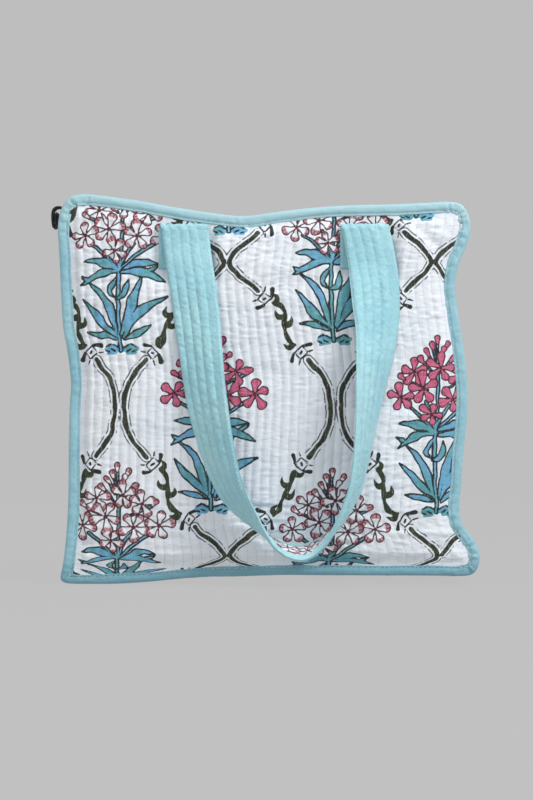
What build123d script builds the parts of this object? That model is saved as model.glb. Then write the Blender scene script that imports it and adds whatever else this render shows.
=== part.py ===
from build123d import *
import math
import os

os.makedirs("parts", exist_ok=True)

# A soft quilted carrier for knitting: two flat quilted faces joined by a boxed gusset, closed on top by a zip, with a
# doubled bias binding round each face and a padded carrying strap on each face.
# Millimetres. +X to the user's right, the front face looks along -Y, +Z up. The origin is the middle of the base's underside.

# ---------------------------------------------------------------- driving dimensions
GAP = 112.0          # clear distance between the linings of the two faces
CLOTH = 0.5          # printed outer cloth
WAD = 3.0            # cotton wadding
LINING = 0.5         # inner cloth
QUILT = CLOTH + WAD + LINING
FACE_IN = GAP / 2    # |y| of a face's lining
FACE_OUT = FACE_IN + QUILT
BIND_W = 10.0        # visible width of the binding
BIND_T = 1.5         # doubled bias tape on each side of the seam
BIND_IN = FACE_IN - BIND_T
BIND_OUT = FACE_OUT + BIND_T
GUSSET_TOP = 372.0   # free top edge of the side gussets
TRAY_TOP = 24.0      # where the base turns up into the sides
BASE_X0, BASE_X1 = -194.0, 204.0
STRIP_Z0 = 358.0     # underside of the quilted strips beside the zip
STRIP_Z1 = STRIP_Z0 + QUILT
HINGE_Y, HINGE_Z = 52.0, (STRIP_Z0 + STRIP_Z1) / 2
FLAP_X = 112.0       # half length of the part of the strips that folds open
STRIP_IN = 15.0      # |y| of the strips' zip edge
END_X0, END_X1 = -191.5, 188.0
TAPE_T, TAPE_IN, TAPE_OUT = 0.8, 2.9, 22.0
TOOTH = (1.3, 3.5, 2.6)   # along, across and height of one zip tooth
TOOTH_PITCH = 3.0
STOP_X = 172.0
SLIDER_X, SLIDER_L, SLIDER_W = -172.0, 13.0, 9.6
STRAP_W, STRAP_T, STRAP_SKIN = 48.0, 4.5, 0.6
STRAP_AXIS_Y, STRAP_AXIS_Z = 66.5, 354.5
END_Z1 = STRAP_AXIS_Z - 3.2
END_W, END_Z0 = 48.0, 316.0
END_L_X, END_R_X = -84.0, 98.0
POCKET = (-101.0, 36.0, 79.0, 229.0)   # x0, x1, z0, z1
POCKET_T, POCKET_DEPTH = 1.0, 7.0

# The face is not a true rectangle: the cloth draws in at the waist and droops at one lower corner.
OUTLINE = [
    (-206.0, 7.0), (-203.5, 21.0), (-201.0, 42.0), (-199.0, 68.0), (-198.0, 100.0), (-197.8, 140.0), (-196.8, 180.0),
    (-195.6, 202.0), (-199.0, 232.0), (-203.5, 258.0), (-205.5, 290.0), (-207.3, 330.0), (-208.8, 354.0), (-207.5, 368.0),
    (-203.0, 381.0), (-194.0, 389.0), (-181.0, 390.8), (-160.0, 388.8), (-126.0, 384.0), (-90.0, 377.5), (-54.0, 372.0),
    (-22.0, 369.0), (14.0, 373.5), (50.0, 377.6), (90.0, 380.0), (130.0, 380.8), (166.0, 382.6), (186.0, 383.2),
    (197.0, 379.5), (203.5, 368.5), (204.8, 356.0), (201.5, 340.0), (193.5, 321.0), (189.2, 300.0), (191.0, 282.0),
    (197.0, 244.0), (201.3, 205.0), (201.5, 170.0), (198.0, 132.0), (195.3, 96.0), (193.8, 74.0), (196.5, 60.0),
    (205.0, 49.0), (211.5, 38.0), (214.3, 27.0), (212.0, 15.5), (206.0, 9.6), (196.0, 8.0), (170.0, 8.4), (120.0, 8.6),
    (60.0, 8.8), (14.0, 9.0), (-22.0, 7.8), (-60.0, 7.2), (-90.0, 5.0), (-116.0, 2.4), (-146.0, 0.4), (-176.0, 0.0),
    (-196.0, 0.4), (-203.6, 2.2),
]

# The strap hangs from its two folds in a loop that turns on edge at the bottom: x, z, lean of its middle and twist in degrees.
STRAP_PATH = [
    (-80.5, 354.0, 67.0, 0), (-79.0, 338.0, 68.0, 1), (-76.5, 320.0, 70.5, 3), (-70.0, 276.0, 76.0, 12), (-64.5, 230.0, 83.0, 22),
    (-58.0, 182.0, 88.5, 31), (-47.5, 134.0, 91.5, 42), (-37.5, 102.0, 94.0, 52), (-29.0, 84.0, 95.5, 60),
    (-18.5, 68.0, 96.5, 70), (-6.0, 52.0, 97.0, 82), (9.0, 38.0, 97.5, 95), (24.0, 30.5, 98.0, 102), (38.0, 29.5, 98.0, 104),
    (52.0, 37.0, 97.5, 98), (64.0, 49.0, 97.0, 89), (74.0, 62.0, 97.0, 82), (82.0, 78.0, 96.5, 77), (89.0, 98.0, 96.0, 73),
    (94.0, 126.0, 95.5, 69), (98.0, 158.0, 94.5, 63), (102.5, 190.0, 92.0, 53), (107.0, 222.0, 87.5, 40), (110.0, 252.0, 81.5, 26),
    (109.5, 282.0, 76.0, 14), (107.0, 314.0, 70.5, 4), (103.0, 338.0, 68.0, 1), (99.5, 354.0, 67.0, 0),
]


def strap_planes(side, shift, points):
    """A plane across the strap at each point of its path, shifted along the strap's thickness. side is -1 in front, 1 behind."""
    found = []
    n = len(points)
    for i, (x, z, lean, twist) in enumerate(points):
        a, b = points[max(i - 1, 0)], points[min(i + 1, n - 1)]
        t = Vector(b[0] - a[0], side * (b[2] - a[2]), b[1] - a[1]).normalized()
        if i in (0, n - 1):
            t = Vector(0, 0, -1 if i == 0 else 1)
        flat = Vector(t.X, 0, t.Z).normalized()
        inner = Vector(-flat.Z, 0, flat.X)
        inner = (inner - t * inner.dot(t)).normalized()
        out = Vector(0, side, 0)
        out = (out - t * out.dot(t) - inner * out.dot(inner)).normalized()
        f = math.radians(twist)
        across = inner * math.cos(f) + out * math.sin(f)
        normal = out * math.cos(f) - inner * math.sin(f)
        centre = Vector(x, side * lean, z) + normal * shift
        found.append(Plane(origin=centre, x_dir=across, z_dir=t))
    return found


def path_length(points):
    return sum(math.dist((a[0], a[1], a[2]), (b[0], b[1], b[2])) for a, b in zip(points, points[1:]))


print("strap length from fold to fold", round(path_length(STRAP_PATH), 1))

# ---------------------------------------------------------------- outlines of a face
def smooth_loop(points, step):
    """Points a fixed step apart on the smooth closed curve through the given ones."""
    n = len(points)
    dense = []
    for i in range(n):
        p0, p1, p2, p3 = (points[(i + k - 1) % n] for k in range(4))
        for j in range(24):
            t = j / 24
            dense.append(tuple(
                0.5 * (2 * b + (c - a) * t + (2 * a - 5 * b + 4 * c - d) * t * t + (3 * b - a - 3 * c + d) * t ** 3)
                for a, b, c, d in zip(p0, p1, p2, p3)
            ))
    total = sum(math.dist(dense[i], dense[i - 1]) for i in range(len(dense)))
    count = round(total / step)
    found, along, want = [], 0.0, 0.0
    for i in range(len(dense)):
        a, b = dense[i], dense[(i + 1) % len(dense)]
        length = math.dist(a, b)
        while want <= along + length and len(found) < count:
            t = (want - along) / length if length else 0
            found.append((a[0] + (b[0] - a[0]) * t, a[1] + (b[1] - a[1]) * t))
            want += total / count
        along += length
    return found


def inward(points, i, depth):
    n = len(points)
    tx, tz = points[(i + 1) % n][0] - points[i - 1][0], points[(i + 1) % n][1] - points[i - 1][1]
    length = math.hypot(tx, tz)
    return (points[i][0] + tz / length * depth * TURN, points[i][1] - tx / length * depth * TURN)


def gap_to_loop(p, points):
    best = 1e9
    for i in range(len(points)):
        (ax, az), (bx, bz) = points[i - 1], points[i]
        dx, dz = bx - ax, bz - az
        t = max(0.0, min(1.0, ((p[0] - ax) * dx + (p[1] - az) * dz) / (dx * dx + dz * dz)))
        best = min(best, math.hypot(p[0] - ax - dx * t, p[1] - az - dz * t))
    return best


RING = smooth_loop(OUTLINE, 7.0)
TURN = 1 if sum(RING[i - 1][0] * RING[i][1] - RING[i][0] * RING[i - 1][1] for i in range(len(RING))) < 0 else -1
KEEP_CLOTH = [i for i in range(len(RING)) if gap_to_loop(inward(RING, i, 1.0), RING) > 0.97]
KEEP_SEAM = [i for i in range(len(RING)) if gap_to_loop(inward(RING, i, BIND_W + QUILT), RING) > BIND_W + QUILT - 0.15]
LOOPS = {"outer": RING, "cloth": [inward(RING, i, 1.0) for i in KEEP_CLOTH]}
for depth in (0.0, CLOTH, CLOTH + WAD, QUILT):
    LOOPS[depth] = [inward(RING, i, BIND_W + depth) for i in KEEP_SEAM]
print({name: len(loop) for name, loop in LOOPS.items()})

# ---------------------------------------------------------------- the two quilted faces, ply by ply, and their bindings
for side, word in ((-1, "front"), (1, "back")):
    for ply, y0, y1 in (
        ("printed_cloth", FACE_IN + LINING + WAD, FACE_OUT),
        ("wadding", FACE_IN + LINING, FACE_IN + LINING + WAD),
        ("lining", FACE_IN, FACE_IN + LINING),
    ):
        with BuildPart() as ply_part:
            with BuildSketch(Plane.XZ.offset(-side * y0)):
                with BuildLine():
                    Polyline(*LOOPS["cloth"], close=True)
                make_face()
            extrude(amount=-side * (y1 - y0))
        ply_part.part.label = f"{word}_{ply}"
        export_step(ply_part.part, f"parts/{word}_{ply}.step")
    with BuildPart() as binding:
        with BuildSketch(Plane.XZ.offset(-side * BIND_IN)):
            with BuildLine():
                Polyline(*LOOPS["outer"], close=True)
            make_face()
            with BuildLine():
                Polyline(*LOOPS[0.0], close=True)
            make_face(mode=Mode.SUBTRACT)
        extrude(amount=-side * (BIND_OUT - BIND_IN))
        with BuildSketch(Plane.XZ.offset(-side * FACE_IN)):
            with BuildLine():
                Polyline(*LOOPS["cloth"], close=True)
            make_face()
        extrude(amount=-side * QUILT, mode=Mode.SUBTRACT)
    binding.part.label = f"{word}_binding"
    export_step(binding.part, f"parts/{word}_binding.step")

# ---------------------------------------------------------------- side gussets, ply by ply, following the seam line
for word, x_mid in (("left", -210.0), ("right", 210.0)):
    for ply, d0, d1 in (("printed_cloth", 0.0, CLOTH), ("wadding", CLOTH, CLOTH + WAD), ("lining", CLOTH + WAD, QUILT)):
        with BuildPart() as gusset:
            with BuildSketch(Plane.XZ.offset(FACE_IN)):
                with BuildLine():
                    Polyline(*LOOPS[d0], close=True)
                make_face()
                with BuildLine():
                    Polyline(*LOOPS[d1], close=True)
                make_face(mode=Mode.SUBTRACT)
            extrude(amount=-GAP)
            with Locations((x_mid, 0, (TRAY_TOP + GUSSET_TOP) / 2)):
                Box(60 if x_mid < 0 else 90, GAP + 2, GUSSET_TOP - TRAY_TOP, mode=Mode.INTERSECT)
        gusset.part.label = f"{word}_gusset_{ply}"
        export_step(gusset.part, f"parts/{word}_gusset_{ply}.step")

# ---------------------------------------------------------------- base: a shallow tray that turns up to meet faces and gussets
for ply, d0, d1 in (("printed_cloth", 0, CLOTH), ("wadding", CLOTH, CLOTH + WAD), ("lining", CLOTH + WAD, QUILT)):
    with BuildPart() as base:
        for d, mode in ((d0, Mode.ADD), (d1, Mode.SUBTRACT)):
            h = BIND_IN - d
            c = 12.0 - 0.41 * d
            with BuildSketch(Plane.YZ.offset(BASE_X0 + d)):
                with BuildLine():
                    Polyline((-h, TRAY_TOP), (-h, c + d * 0.59), (-h + c - d * 0.59, d), (h - c + d * 0.59, d), (h, c + d * 0.59), (h, TRAY_TOP), close=True)
                make_face()
            extrude(amount=BASE_X1 - BASE_X0 - 2 * d, mode=mode)
    base.part.label = f"base_{ply}"
    export_step(base.part, f"parts/base_{ply}.step")

# ---------------------------------------------------------------- strips beside the zip: a folding middle and two fixed ends each
for side, word in ((-1, "front"), (1, "back")):
    with BuildPart() as flap:
        with BuildSketch(Plane.YZ.offset(-FLAP_X)):
            with Locations((side * (HINGE_Y + STRIP_IN) / 2, HINGE_Z)):
                Rectangle(HINGE_Y - STRIP_IN, QUILT)
            with Locations((side * HINGE_Y, HINGE_Z)):
                Circle(QUILT / 2)
        extrude(amount=2 * FLAP_X)
    flap.part.label = f"top_strip_{word}_middle"
    export_step(flap.part, f"parts/top_strip_{word}_middle.step")
    for end, x0, x1 in (("left", END_X0, -FLAP_X - 1.0), ("right", FLAP_X + 1.0, END_X1)):
        with BuildPart() as strip_end:
            with Locations(((x0 + x1) / 2, side * (FACE_IN + STRIP_IN) / 2, HINGE_Z)):
                Box(x1 - x0, FACE_IN - STRIP_IN, QUILT)
            chamfer(strip_end.edges().filter_by(Axis.X).group_by(Axis.Z)[-1].sort_by(Axis.Y)[0 if side > 0 else -1], 0.8)
        strip_end.part.label = f"top_strip_{word}_{end}"
        export_step(strip_end.part, f"parts/top_strip_{word}_{end}.step")
    with BuildPart() as tape:
        with Locations((0, side * (TAPE_IN + TAPE_OUT) / 2, STRIP_Z0 - TAPE_T / 2)):
            Box(2 * FLAP_X, TAPE_OUT - TAPE_IN, TAPE_T)
    tape.part.label = f"zip_tape_{word}"
    export_step(tape.part, f"parts/zip_tape_{word}.step")
    with BuildPart() as teeth:
        count = int((2 * FLAP_X - 6) / TOOTH_PITCH)
        first = -TOOTH_PITCH * (count - 1) / 2 + (TOOTH_PITCH / 2 if side > 0 else 0)
        for i in range(count):
            with Locations((first + i * TOOTH_PITCH, side * (TAPE_IN - TOOTH[1] / 2), STRIP_Z0 - TAPE_T / 2)):
                Box(*TOOTH)
    teeth.part.label = f"zip_teeth_{word}"
    export_step(teeth.part, f"parts/zip_teeth_{word}.step")

# The zip's two ends stay sewn to the fixed strips. Each end node holds the front and the back tape.
for end, x0, x1 in (("left", END_X0, -FLAP_X - 1.0), ("right", FLAP_X + 1.0, END_X1)):
    with BuildPart() as tape_end:
        with Locations(*[((x0 + x1) / 2, s * (TAPE_IN + TAPE_OUT) / 2, STRIP_Z0 - TAPE_T / 2) for s in (-1, 1)]):
            Box(x1 - x0, TAPE_OUT - TAPE_IN, TAPE_T)
    tape_end.part.label = f"zip_tape_{end}_end"
    export_step(tape_end.part, f"parts/zip_tape_{end}_end.step")

# Past the folding part the right end's teeth stay meshed; on the left they stand apart, where the slider holds them open.
for end in ("left", "right"):
    with BuildPart() as end_teeth:
        lo, hi = (-FLAP_X - 3.0, SLIDER_X + 11.0) if end == "left" else (FLAP_X + 3.0, STOP_X - 4.0)
        count = int(abs(hi - lo) / TOOTH_PITCH)
        for side in (-1, 1):
            for i in range(count):
                x = min(lo, hi) + TOOTH_PITCH * (i + 0.5) + (TOOTH_PITCH / 2 if side > 0 and end == "right" else 0)
                wide = TOOTH[1] if end == "right" else 1.5
                with Locations((x, side * ((TAPE_IN - wide / 2) if end == "right" else 2.15), STRIP_Z0 - TAPE_T / 2)):
                    Box(TOOTH[0], wide, TOOTH[2])
    end_teeth.part.label = f"zip_teeth_{end}_end"
    export_step(end_teeth.part, f"parts/zip_teeth_{end}_end.step")

# The loose tail of the zip climbs over the left gusset's top edge and is folded into a thick end outside it.
with BuildPart() as tail:
    with BuildSketch(Plane.XZ.offset(11.0)):
        with BuildLine():
            top = [(-181.0, 363.9), (-185.6, 367.5), (-189.6, 375.6), (-197.5, 378.8), (-205.0, 382.2), (-213.0, 384.2), (-218.6, 381.6), (-220.6, 373.0), (-219.2, 361.0)]
            low = [(-210.4, 360.4), (-209.8, 371.0), (-208.0, 376.0), (-203.4, 378.2), (-198.0, 376.6), (-191.0, 373.6), (-187.2, 366.0), (-184.8, 363.4), (-181.0, 362.1)]
            Polyline(*top, *low, close=True)
        make_face()
    extrude(amount=-22.0)
tail.part.label = "zip_tail"
export_step(tail.part, "parts/zip_tail.step")

# ---------------------------------------------------------------- slider, its pull and the zip's stop
TEETH_Z0, TEETH_Z1 = STRIP_Z0 - TAPE_T / 2 - TOOTH[2] / 2, STRIP_Z0 - TAPE_T / 2 + TOOTH[2] / 2
PLATE_T = 1.2
with BuildPart() as slider:
    with Locations((SLIDER_X, 0, TEETH_Z1 + 0.4 + PLATE_T / 2), (SLIDER_X, 0, TEETH_Z0 - 0.4 - PLATE_T / 2)):
        Box(SLIDER_L, SLIDER_W, PLATE_T)
    fillet(slider.edges().filter_by(Axis.Z), 2.4)
    with Locations(*[(SLIDER_X + 1.2, s * (SLIDER_W / 2 - 0.45), z) for s in (-1, 1) for z in (TEETH_Z1 + 0.15, TEETH_Z0 - 0.15)]):
        Box(SLIDER_L - 6.0, 0.9, 0.8)
    with Locations((SLIDER_X - SLIDER_L / 2 + 2.4, 0, (TEETH_Z0 + TEETH_Z1) / 2)):
        Box(2.4, 2.2, TEETH_Z1 - TEETH_Z0 + 1.6)
    # the bail that the pull hangs on
    with BuildSketch(Plane.XZ.offset(1.1)):
        with Locations((SLIDER_X, TEETH_Z1 + 0.4 + PLATE_T + 1.55)):
            Rectangle(7.4, 3.5)
        with Locations((SLIDER_X, TEETH_Z1 + 0.4 + PLATE_T + 1.05)):
            Rectangle(4.8, 2.5, mode=Mode.SUBTRACT)
    extrude(amount=-2.2)
slider.part.label = "zip_slider"
export_step(slider.part, "parts/zip_slider.step")
PULL_Z = TEETH_Z1 + 0.4 + PLATE_T + 1.05
PULL_X = SLIDER_X
with BuildPart() as pull:
    with BuildSketch(Plane.XY.offset(PULL_Z - 0.6)):
        with BuildLine():
            Polyline((PULL_X - 0.6, -3.1), (PULL_X + 6.0, -3.1), (PULL_X + 10.0, -4.4), (PULL_X + 26.0, -3.4), (PULL_X + 28.0, -1.6),
                     (PULL_X + 28.0, 1.6), (PULL_X + 26.0, 3.4), (PULL_X + 10.0, 4.4), (PULL_X + 6.0, 3.1), (PULL_X - 0.6, 3.1), close=True)
        make_face()
        with Locations((PULL_X + 2.8, 0)):
            Rectangle(4.8, 3.4, mode=Mode.SUBTRACT)
        with Locations((PULL_X + 21.5, 0)):
            SlotOverall(7.0, 2.6, mode=Mode.SUBTRACT)
    extrude(amount=1.2)
    # the bar stays round so that it turns in the bail
    with BuildSketch(Plane.XZ.offset(1.7)):
        with Locations((PULL_X, PULL_Z)):
            Circle(0.75)
    extrude(amount=-3.4)
pull.part.label = "zip_pull"
export_step(pull.part, "parts/zip_pull.step")
with BuildPart() as stop:
    with Locations((STOP_X, 0, STRIP_Z0 - TAPE_T / 2)):
        Box(3.0, 5.4, 2.6)
    chamfer(stop.edges().filter_by(Axis.Z), 0.5)
stop.part.label = "zip_bottom_stop"
export_step(stop.part, "parts/zip_bottom_stop.step")

# ---------------------------------------------------------------- carrying straps: three plies that run from fold to fold, and the sewn ends
for side, word in ((-1, "front"), (1, "back")):
    core = STRAP_T - 2 * STRAP_SKIN
    for ply, shift, thick in (
        ("face_cloth", (core + STRAP_SKIN) / 2, STRAP_SKIN),
        ("wadding", 0.0, core),
        ("underside_cloth", -(core + STRAP_SKIN) / 2, STRAP_SKIN),
    ):
        with BuildPart() as strap:
            for plane in strap_planes(side, shift, STRAP_PATH):
                with BuildSketch(plane):
                    Rectangle(STRAP_W, thick)
            loft(ruled=True)
        strap.part.label = f"{word}_handle_{ply}"
        export_step(strap.part, f"parts/{word}_handle_{ply}.step")
    for end, x in (("left", END_L_X), ("right", END_R_X)):
        with BuildPart() as sewn_end:
            with Locations((x, side * (FACE_OUT + 2.0), (END_Z0 + END_Z1) / 2)):
                Box(END_W, 4.0, END_Z1 - END_Z0)
            chamfer(sewn_end.edges().filter_by(Axis.X).group_by(Axis.Z)[0].sort_by(Axis.Y)[0 if side < 0 else -1], 1.5)
        sewn_end.part.label = f"{word}_handle_{end}_sewn_end"
        export_step(sewn_end.part, f"parts/{word}_handle_{end}_sewn_end.step")
    # lock stitches: a box with a cross on each sewn end
    STITCH_L, STITCH_STEP = 3.0, 4.6
    with BuildPart() as stitches:
        for x in (END_L_X, END_R_X):
            x0, x1, z0, z1 = x - 20.0, x + 20.0, END_Z0 + 4.0, STRAP_AXIS_Z - 6.0
            lines = [((x0, z0), (x1, z0)), ((x1, z0), (x1, z1)), ((x1, z1), (x0, z1)), ((x0, z1), (x0, z0)), ((x0, z0), (x1, z1)), ((x0, z1), (x1, z0))]
            for k, ((ax, az), (bx, bz)) in enumerate(lines):
                length = math.hypot(bx - ax, bz - az)
                count = int((length - (8.0 if k > 3 else 3.0)) / STITCH_STEP)
                angle = math.degrees(math.atan2(bz - az, bx - ax))
                for i in range(count):
                    if k == 5 and abs(i - (count - 1) / 2) < 1:
                        continue
                    t = 0.5 + (i - (count - 1) / 2) * STITCH_STEP / length
                    place = Location((ax + (bx - ax) * t, side * (FACE_OUT + 4.0 + 0.12), az + (bz - az) * t), (0, -angle, 0))
                    with Locations(place):
                        Box(STITCH_L, 0.24, 0.7)
    stitches.part.label = f"{word}_handle_stitching"
    export_step(stitches.part, f"parts/{word}_handle_stitching.step")

# ---------------------------------------------------------------- slip pocket sewn to the front lining
x0, x1, z0, z1 = POCKET
with BuildPart() as pocket:
    with Locations(((x0 + x1) / 2, -FACE_IN + POCKET_DEPTH / 2, (z0 + z1) / 2)):
        Box(x1 - x0, POCKET_DEPTH, z1 - z0)
    with Locations(((x0 + x1) / 2, -FACE_IN + (POCKET_DEPTH - POCKET_T) / 2, (z0 + z1) / 2 + POCKET_T)):
        Box(x1 - x0 - 2 * POCKET_T, POCKET_DEPTH - POCKET_T, z1 - z0, mode=Mode.SUBTRACT)
pocket.part.label = "inner_pocket"
export_step(pocket.part, "parts/inner_pocket.step")
with BuildPart() as pocket_hem:
    with Locations(((x0 + x1) / 2, -FACE_IN + POCKET_DEPTH + 0.3, z1 - 7.0)):
        Box(x1 - x0, 0.6, 14.0)
pocket_hem.part.label = "inner_pocket_hem"
export_step(pocket_hem.part, "parts/inner_pocket_hem.step")
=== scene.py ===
import math

import bpy
import numpy as np
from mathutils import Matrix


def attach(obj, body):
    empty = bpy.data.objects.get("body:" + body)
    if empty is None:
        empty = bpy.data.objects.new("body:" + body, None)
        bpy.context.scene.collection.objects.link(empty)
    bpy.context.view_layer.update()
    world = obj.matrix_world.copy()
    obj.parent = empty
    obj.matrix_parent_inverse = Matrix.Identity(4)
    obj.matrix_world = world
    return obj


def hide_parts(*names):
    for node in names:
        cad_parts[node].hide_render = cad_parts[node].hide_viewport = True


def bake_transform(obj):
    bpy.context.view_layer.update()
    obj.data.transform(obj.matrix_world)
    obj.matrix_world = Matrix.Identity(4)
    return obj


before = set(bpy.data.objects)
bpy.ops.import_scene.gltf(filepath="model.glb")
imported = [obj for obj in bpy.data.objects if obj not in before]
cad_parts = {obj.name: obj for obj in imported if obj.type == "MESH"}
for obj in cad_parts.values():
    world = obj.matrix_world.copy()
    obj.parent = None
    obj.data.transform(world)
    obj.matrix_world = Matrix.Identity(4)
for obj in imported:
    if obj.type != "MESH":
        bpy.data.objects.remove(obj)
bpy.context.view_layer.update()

# Everything below is worked out in millimetres and stored in metres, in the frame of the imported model.
TAU = 2 * math.pi
CELL = 1.25     # mesh step on the printed faces

bpy.context.scene.view_settings.view_transform = "Standard"

# ------------------------------------------------------------------------------------------------ small numeric helpers

def sstep(a, b, x):
    t = np.clip((x - a) / (b - a), 0, 1)
    return t * t * (3 - 2 * t)


_lattice = {}


def noise(x, y, seed):
    """Smooth value noise from -1 to 1 with a cell of 1, the same each run."""
    if seed not in _lattice:
        _lattice[seed] = np.random.default_rng(seed).uniform(-1, 1, (256, 256))
    g = _lattice[seed]
    x, y = np.broadcast_arrays(np.asarray(x, float), np.asarray(y, float))
    xi, yi = np.floor(x).astype(int), np.floor(y).astype(int)
    fx, fy = x - xi, y - yi
    fx, fy = fx * fx * fx * (fx * (fx * 6 - 15) + 10), fy * fy * fy * (fy * (fy * 6 - 15) + 10)
    a, b = g[xi % 256, yi % 256], g[(xi + 1) % 256, yi % 256]
    c, d = g[xi % 256, (yi + 1) % 256], g[(xi + 1) % 256, (yi + 1) % 256]
    return (a * (1 - fx) + b * fx) * (1 - fy) + (c * (1 - fx) + d * fx) * fy


def curve(points, count, closed=False):
    """count points evenly spaced on the smooth curve through the given rows of numbers, spaced by the first two or three columns."""
    p = np.array(points, float)
    n = len(p)
    rows = []
    for i in range(n if closed else n - 1):
        q = [p[(i + k) % n] if closed else p[min(max(i + k, 0), n - 1)] for k in (-1, 0, 1, 2)]
        t = np.linspace(0, 1, 24, endpoint=False)[:, None]
        rows.append(0.5 * (2 * q[1] + (q[2] - q[0]) * t + (2 * q[0] - 5 * q[1] + 4 * q[2] - q[3]) * t ** 2 + (3 * q[1] - q[0] - 3 * q[2] + q[3]) * t ** 3))
    dense = np.concatenate(rows + [p[:1] if closed else p[-1:]])
    k = min(3, p.shape[1]) if not closed else 2
    along = np.concatenate([[0], np.cumsum(np.linalg.norm(np.diff(dense[:, :k], axis=0), axis=1))])
    want = np.linspace(0, along[-1], count + 1)[:-1] if closed else np.linspace(0, along[-1], count)
    return np.stack([np.interp(want, along, dense[:, c]) for c in range(p.shape[1])], 1)


def smooth_rows(a, reach, closed=True):
    """A running average along the first axis."""
    r = int(max(1, reach))
    k = np.hanning(2 * r + 3)[1:-1]
    k /= k.sum()
    pad = np.concatenate([a[-r:], a, a[:r]]) if closed else np.concatenate([np.repeat(a[:1], r, 0), a, np.repeat(a[-1:], r, 0)])
    return np.stack([np.convolve(pad[:, c], k, "valid") for c in range(a.shape[1])], 1)


def unit(a):
    return a / np.maximum(np.linalg.norm(a, axis=-1, keepdims=True), 1e-9)


def grid_normals(p, wrap_i=False, wrap_j=False):
    di = (np.roll(p, -1, 0) - np.roll(p, 1, 0)) if wrap_i else np.gradient(p, axis=0)
    dj = (np.roll(p, -1, 1) - np.roll(p, 1, 1)) if wrap_j else np.gradient(p, axis=1)
    return unit(np.cross(di, dj))


# ------------------------------------------------------------------------------------------------ mesh building

def grid(name, p, wrap_i=False, wrap_j=False, fields=None, mat=None, body="bag", cad=(), uv=None):
    """A smooth quad mesh from an array of points in millimetres, rows by columns by 3. fields are vector attributes of the same rows and columns."""
    n, m = p.shape[:2]
    me = bpy.data.meshes.new(name)
    me.vertices.add(n * m)
    me.vertices.foreach_set("co", (p.reshape(-1, 3) * 0.001).astype(np.float32).ravel())
    ni, mj = (n if wrap_i else n - 1), (m if wrap_j else m - 1)
    i, j = np.meshgrid(np.arange(ni), np.arange(mj), indexing="ij")
    i1, j1 = (i + 1) % n, (j + 1) % m
    quads = np.stack([i * m + j, i1 * m + j, i1 * m + j1, i * m + j1], -1).reshape(-1, 4)
    count = len(quads)
    me.loops.add(count * 4)
    me.loops.foreach_set("vertex_index", quads.astype(np.int32).ravel())
    me.polygons.add(count)
    me.polygons.foreach_set("loop_start", (np.arange(count) * 4).astype(np.int32))
    me.update(calc_edges=True)
    me.polygons.foreach_set("use_smooth", np.ones(count, bool))
    lay = me.uv_layers.new(name="OFBake")
    u0, u1, v0, v1 = i / ni, (i + 1) / ni, j / mj, (j + 1) / mj
    st = np.stack([np.stack([u0, v0], -1), np.stack([u1, v0], -1), np.stack([u1, v1], -1), np.stack([u0, v1], -1)], 2)
    lay.data.foreach_set("uv", (0.004 + 0.992 * st).astype(np.float32).ravel())
    for key, value in (fields or {}).items():
        at = me.attributes.new(key, "FLOAT_VECTOR", "POINT")
        at.data.foreach_set("vector", np.ascontiguousarray(value.reshape(-1, 3), np.float32).ravel())
    return put(name, me, mat, body, cad)


def cut_sheet(o):
    """Reads the area of each face of a piece; the areas are not used, and the piece is returned as it is."""
    me = o.data
    a = np.zeros(len(me.polygons), np.float32)
    me.polygons.foreach_get("area", a)
    return o


def put(name, me, mat, body="bag", cad=()):
    o = bpy.data.objects.new(name, me)
    bpy.context.scene.collection.objects.link(o)
    if mat is not None:
        me.materials.append(mat)
    if body is not None:
        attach(o, body)
    if cad:
        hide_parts(*cad)
    return o


def many(name, shapes, mat, body="bag", cad=(), smooth=False):
    """One mesh from many small ones: shapes are (points in mm, faces)."""
    v, f, base = [], [], 0
    for pts, faces in shapes:
        v.append(np.asarray(pts, float))
        f += [tuple(base + k for k in face) for face in faces]
        base += len(pts)
    me = bpy.data.meshes.new(name)
    me.from_pydata((np.concatenate(v) * 0.001).tolist(), [], f)
    me.update()
    if smooth:
        me.polygons.foreach_set("use_smooth", np.ones(len(me.polygons), bool))
    return put(name, me, mat, body, cad)


BLOCK_F = [(0, 1, 3, 2), (4, 6, 7, 5), (0, 4, 5, 1), (2, 3, 7, 6), (0, 2, 6, 4), (1, 5, 7, 3)]


def stitch(c, along, across, out, length, width, rise):
    """A thread stitch: a low ridge with both ends pulled into the cloth."""
    rows = []
    for t, k in ((-0.5, 0.0), (-0.3, 0.8), (0.0, 1.0), (0.3, 0.8), (0.5, 0.0)):
        mid = c + along * t * length
        w = width * (0.45 + 0.55 * k) / 2
        rows += [mid - across * w - out * 0.1, mid - across * w * 0.6 + out * rise * k, mid + across * w * 0.6 + out * rise * k, mid + across * w - out * 0.1]
    faces = [(4 * r + c0, 4 * r + c0 + 1, 4 * r + c0 + 5, 4 * r + c0 + 4) for r in range(4) for c0 in range(3)]
    return np.array(rows), faces


# ------------------------------------------------------------------------------------------------ materials

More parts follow.
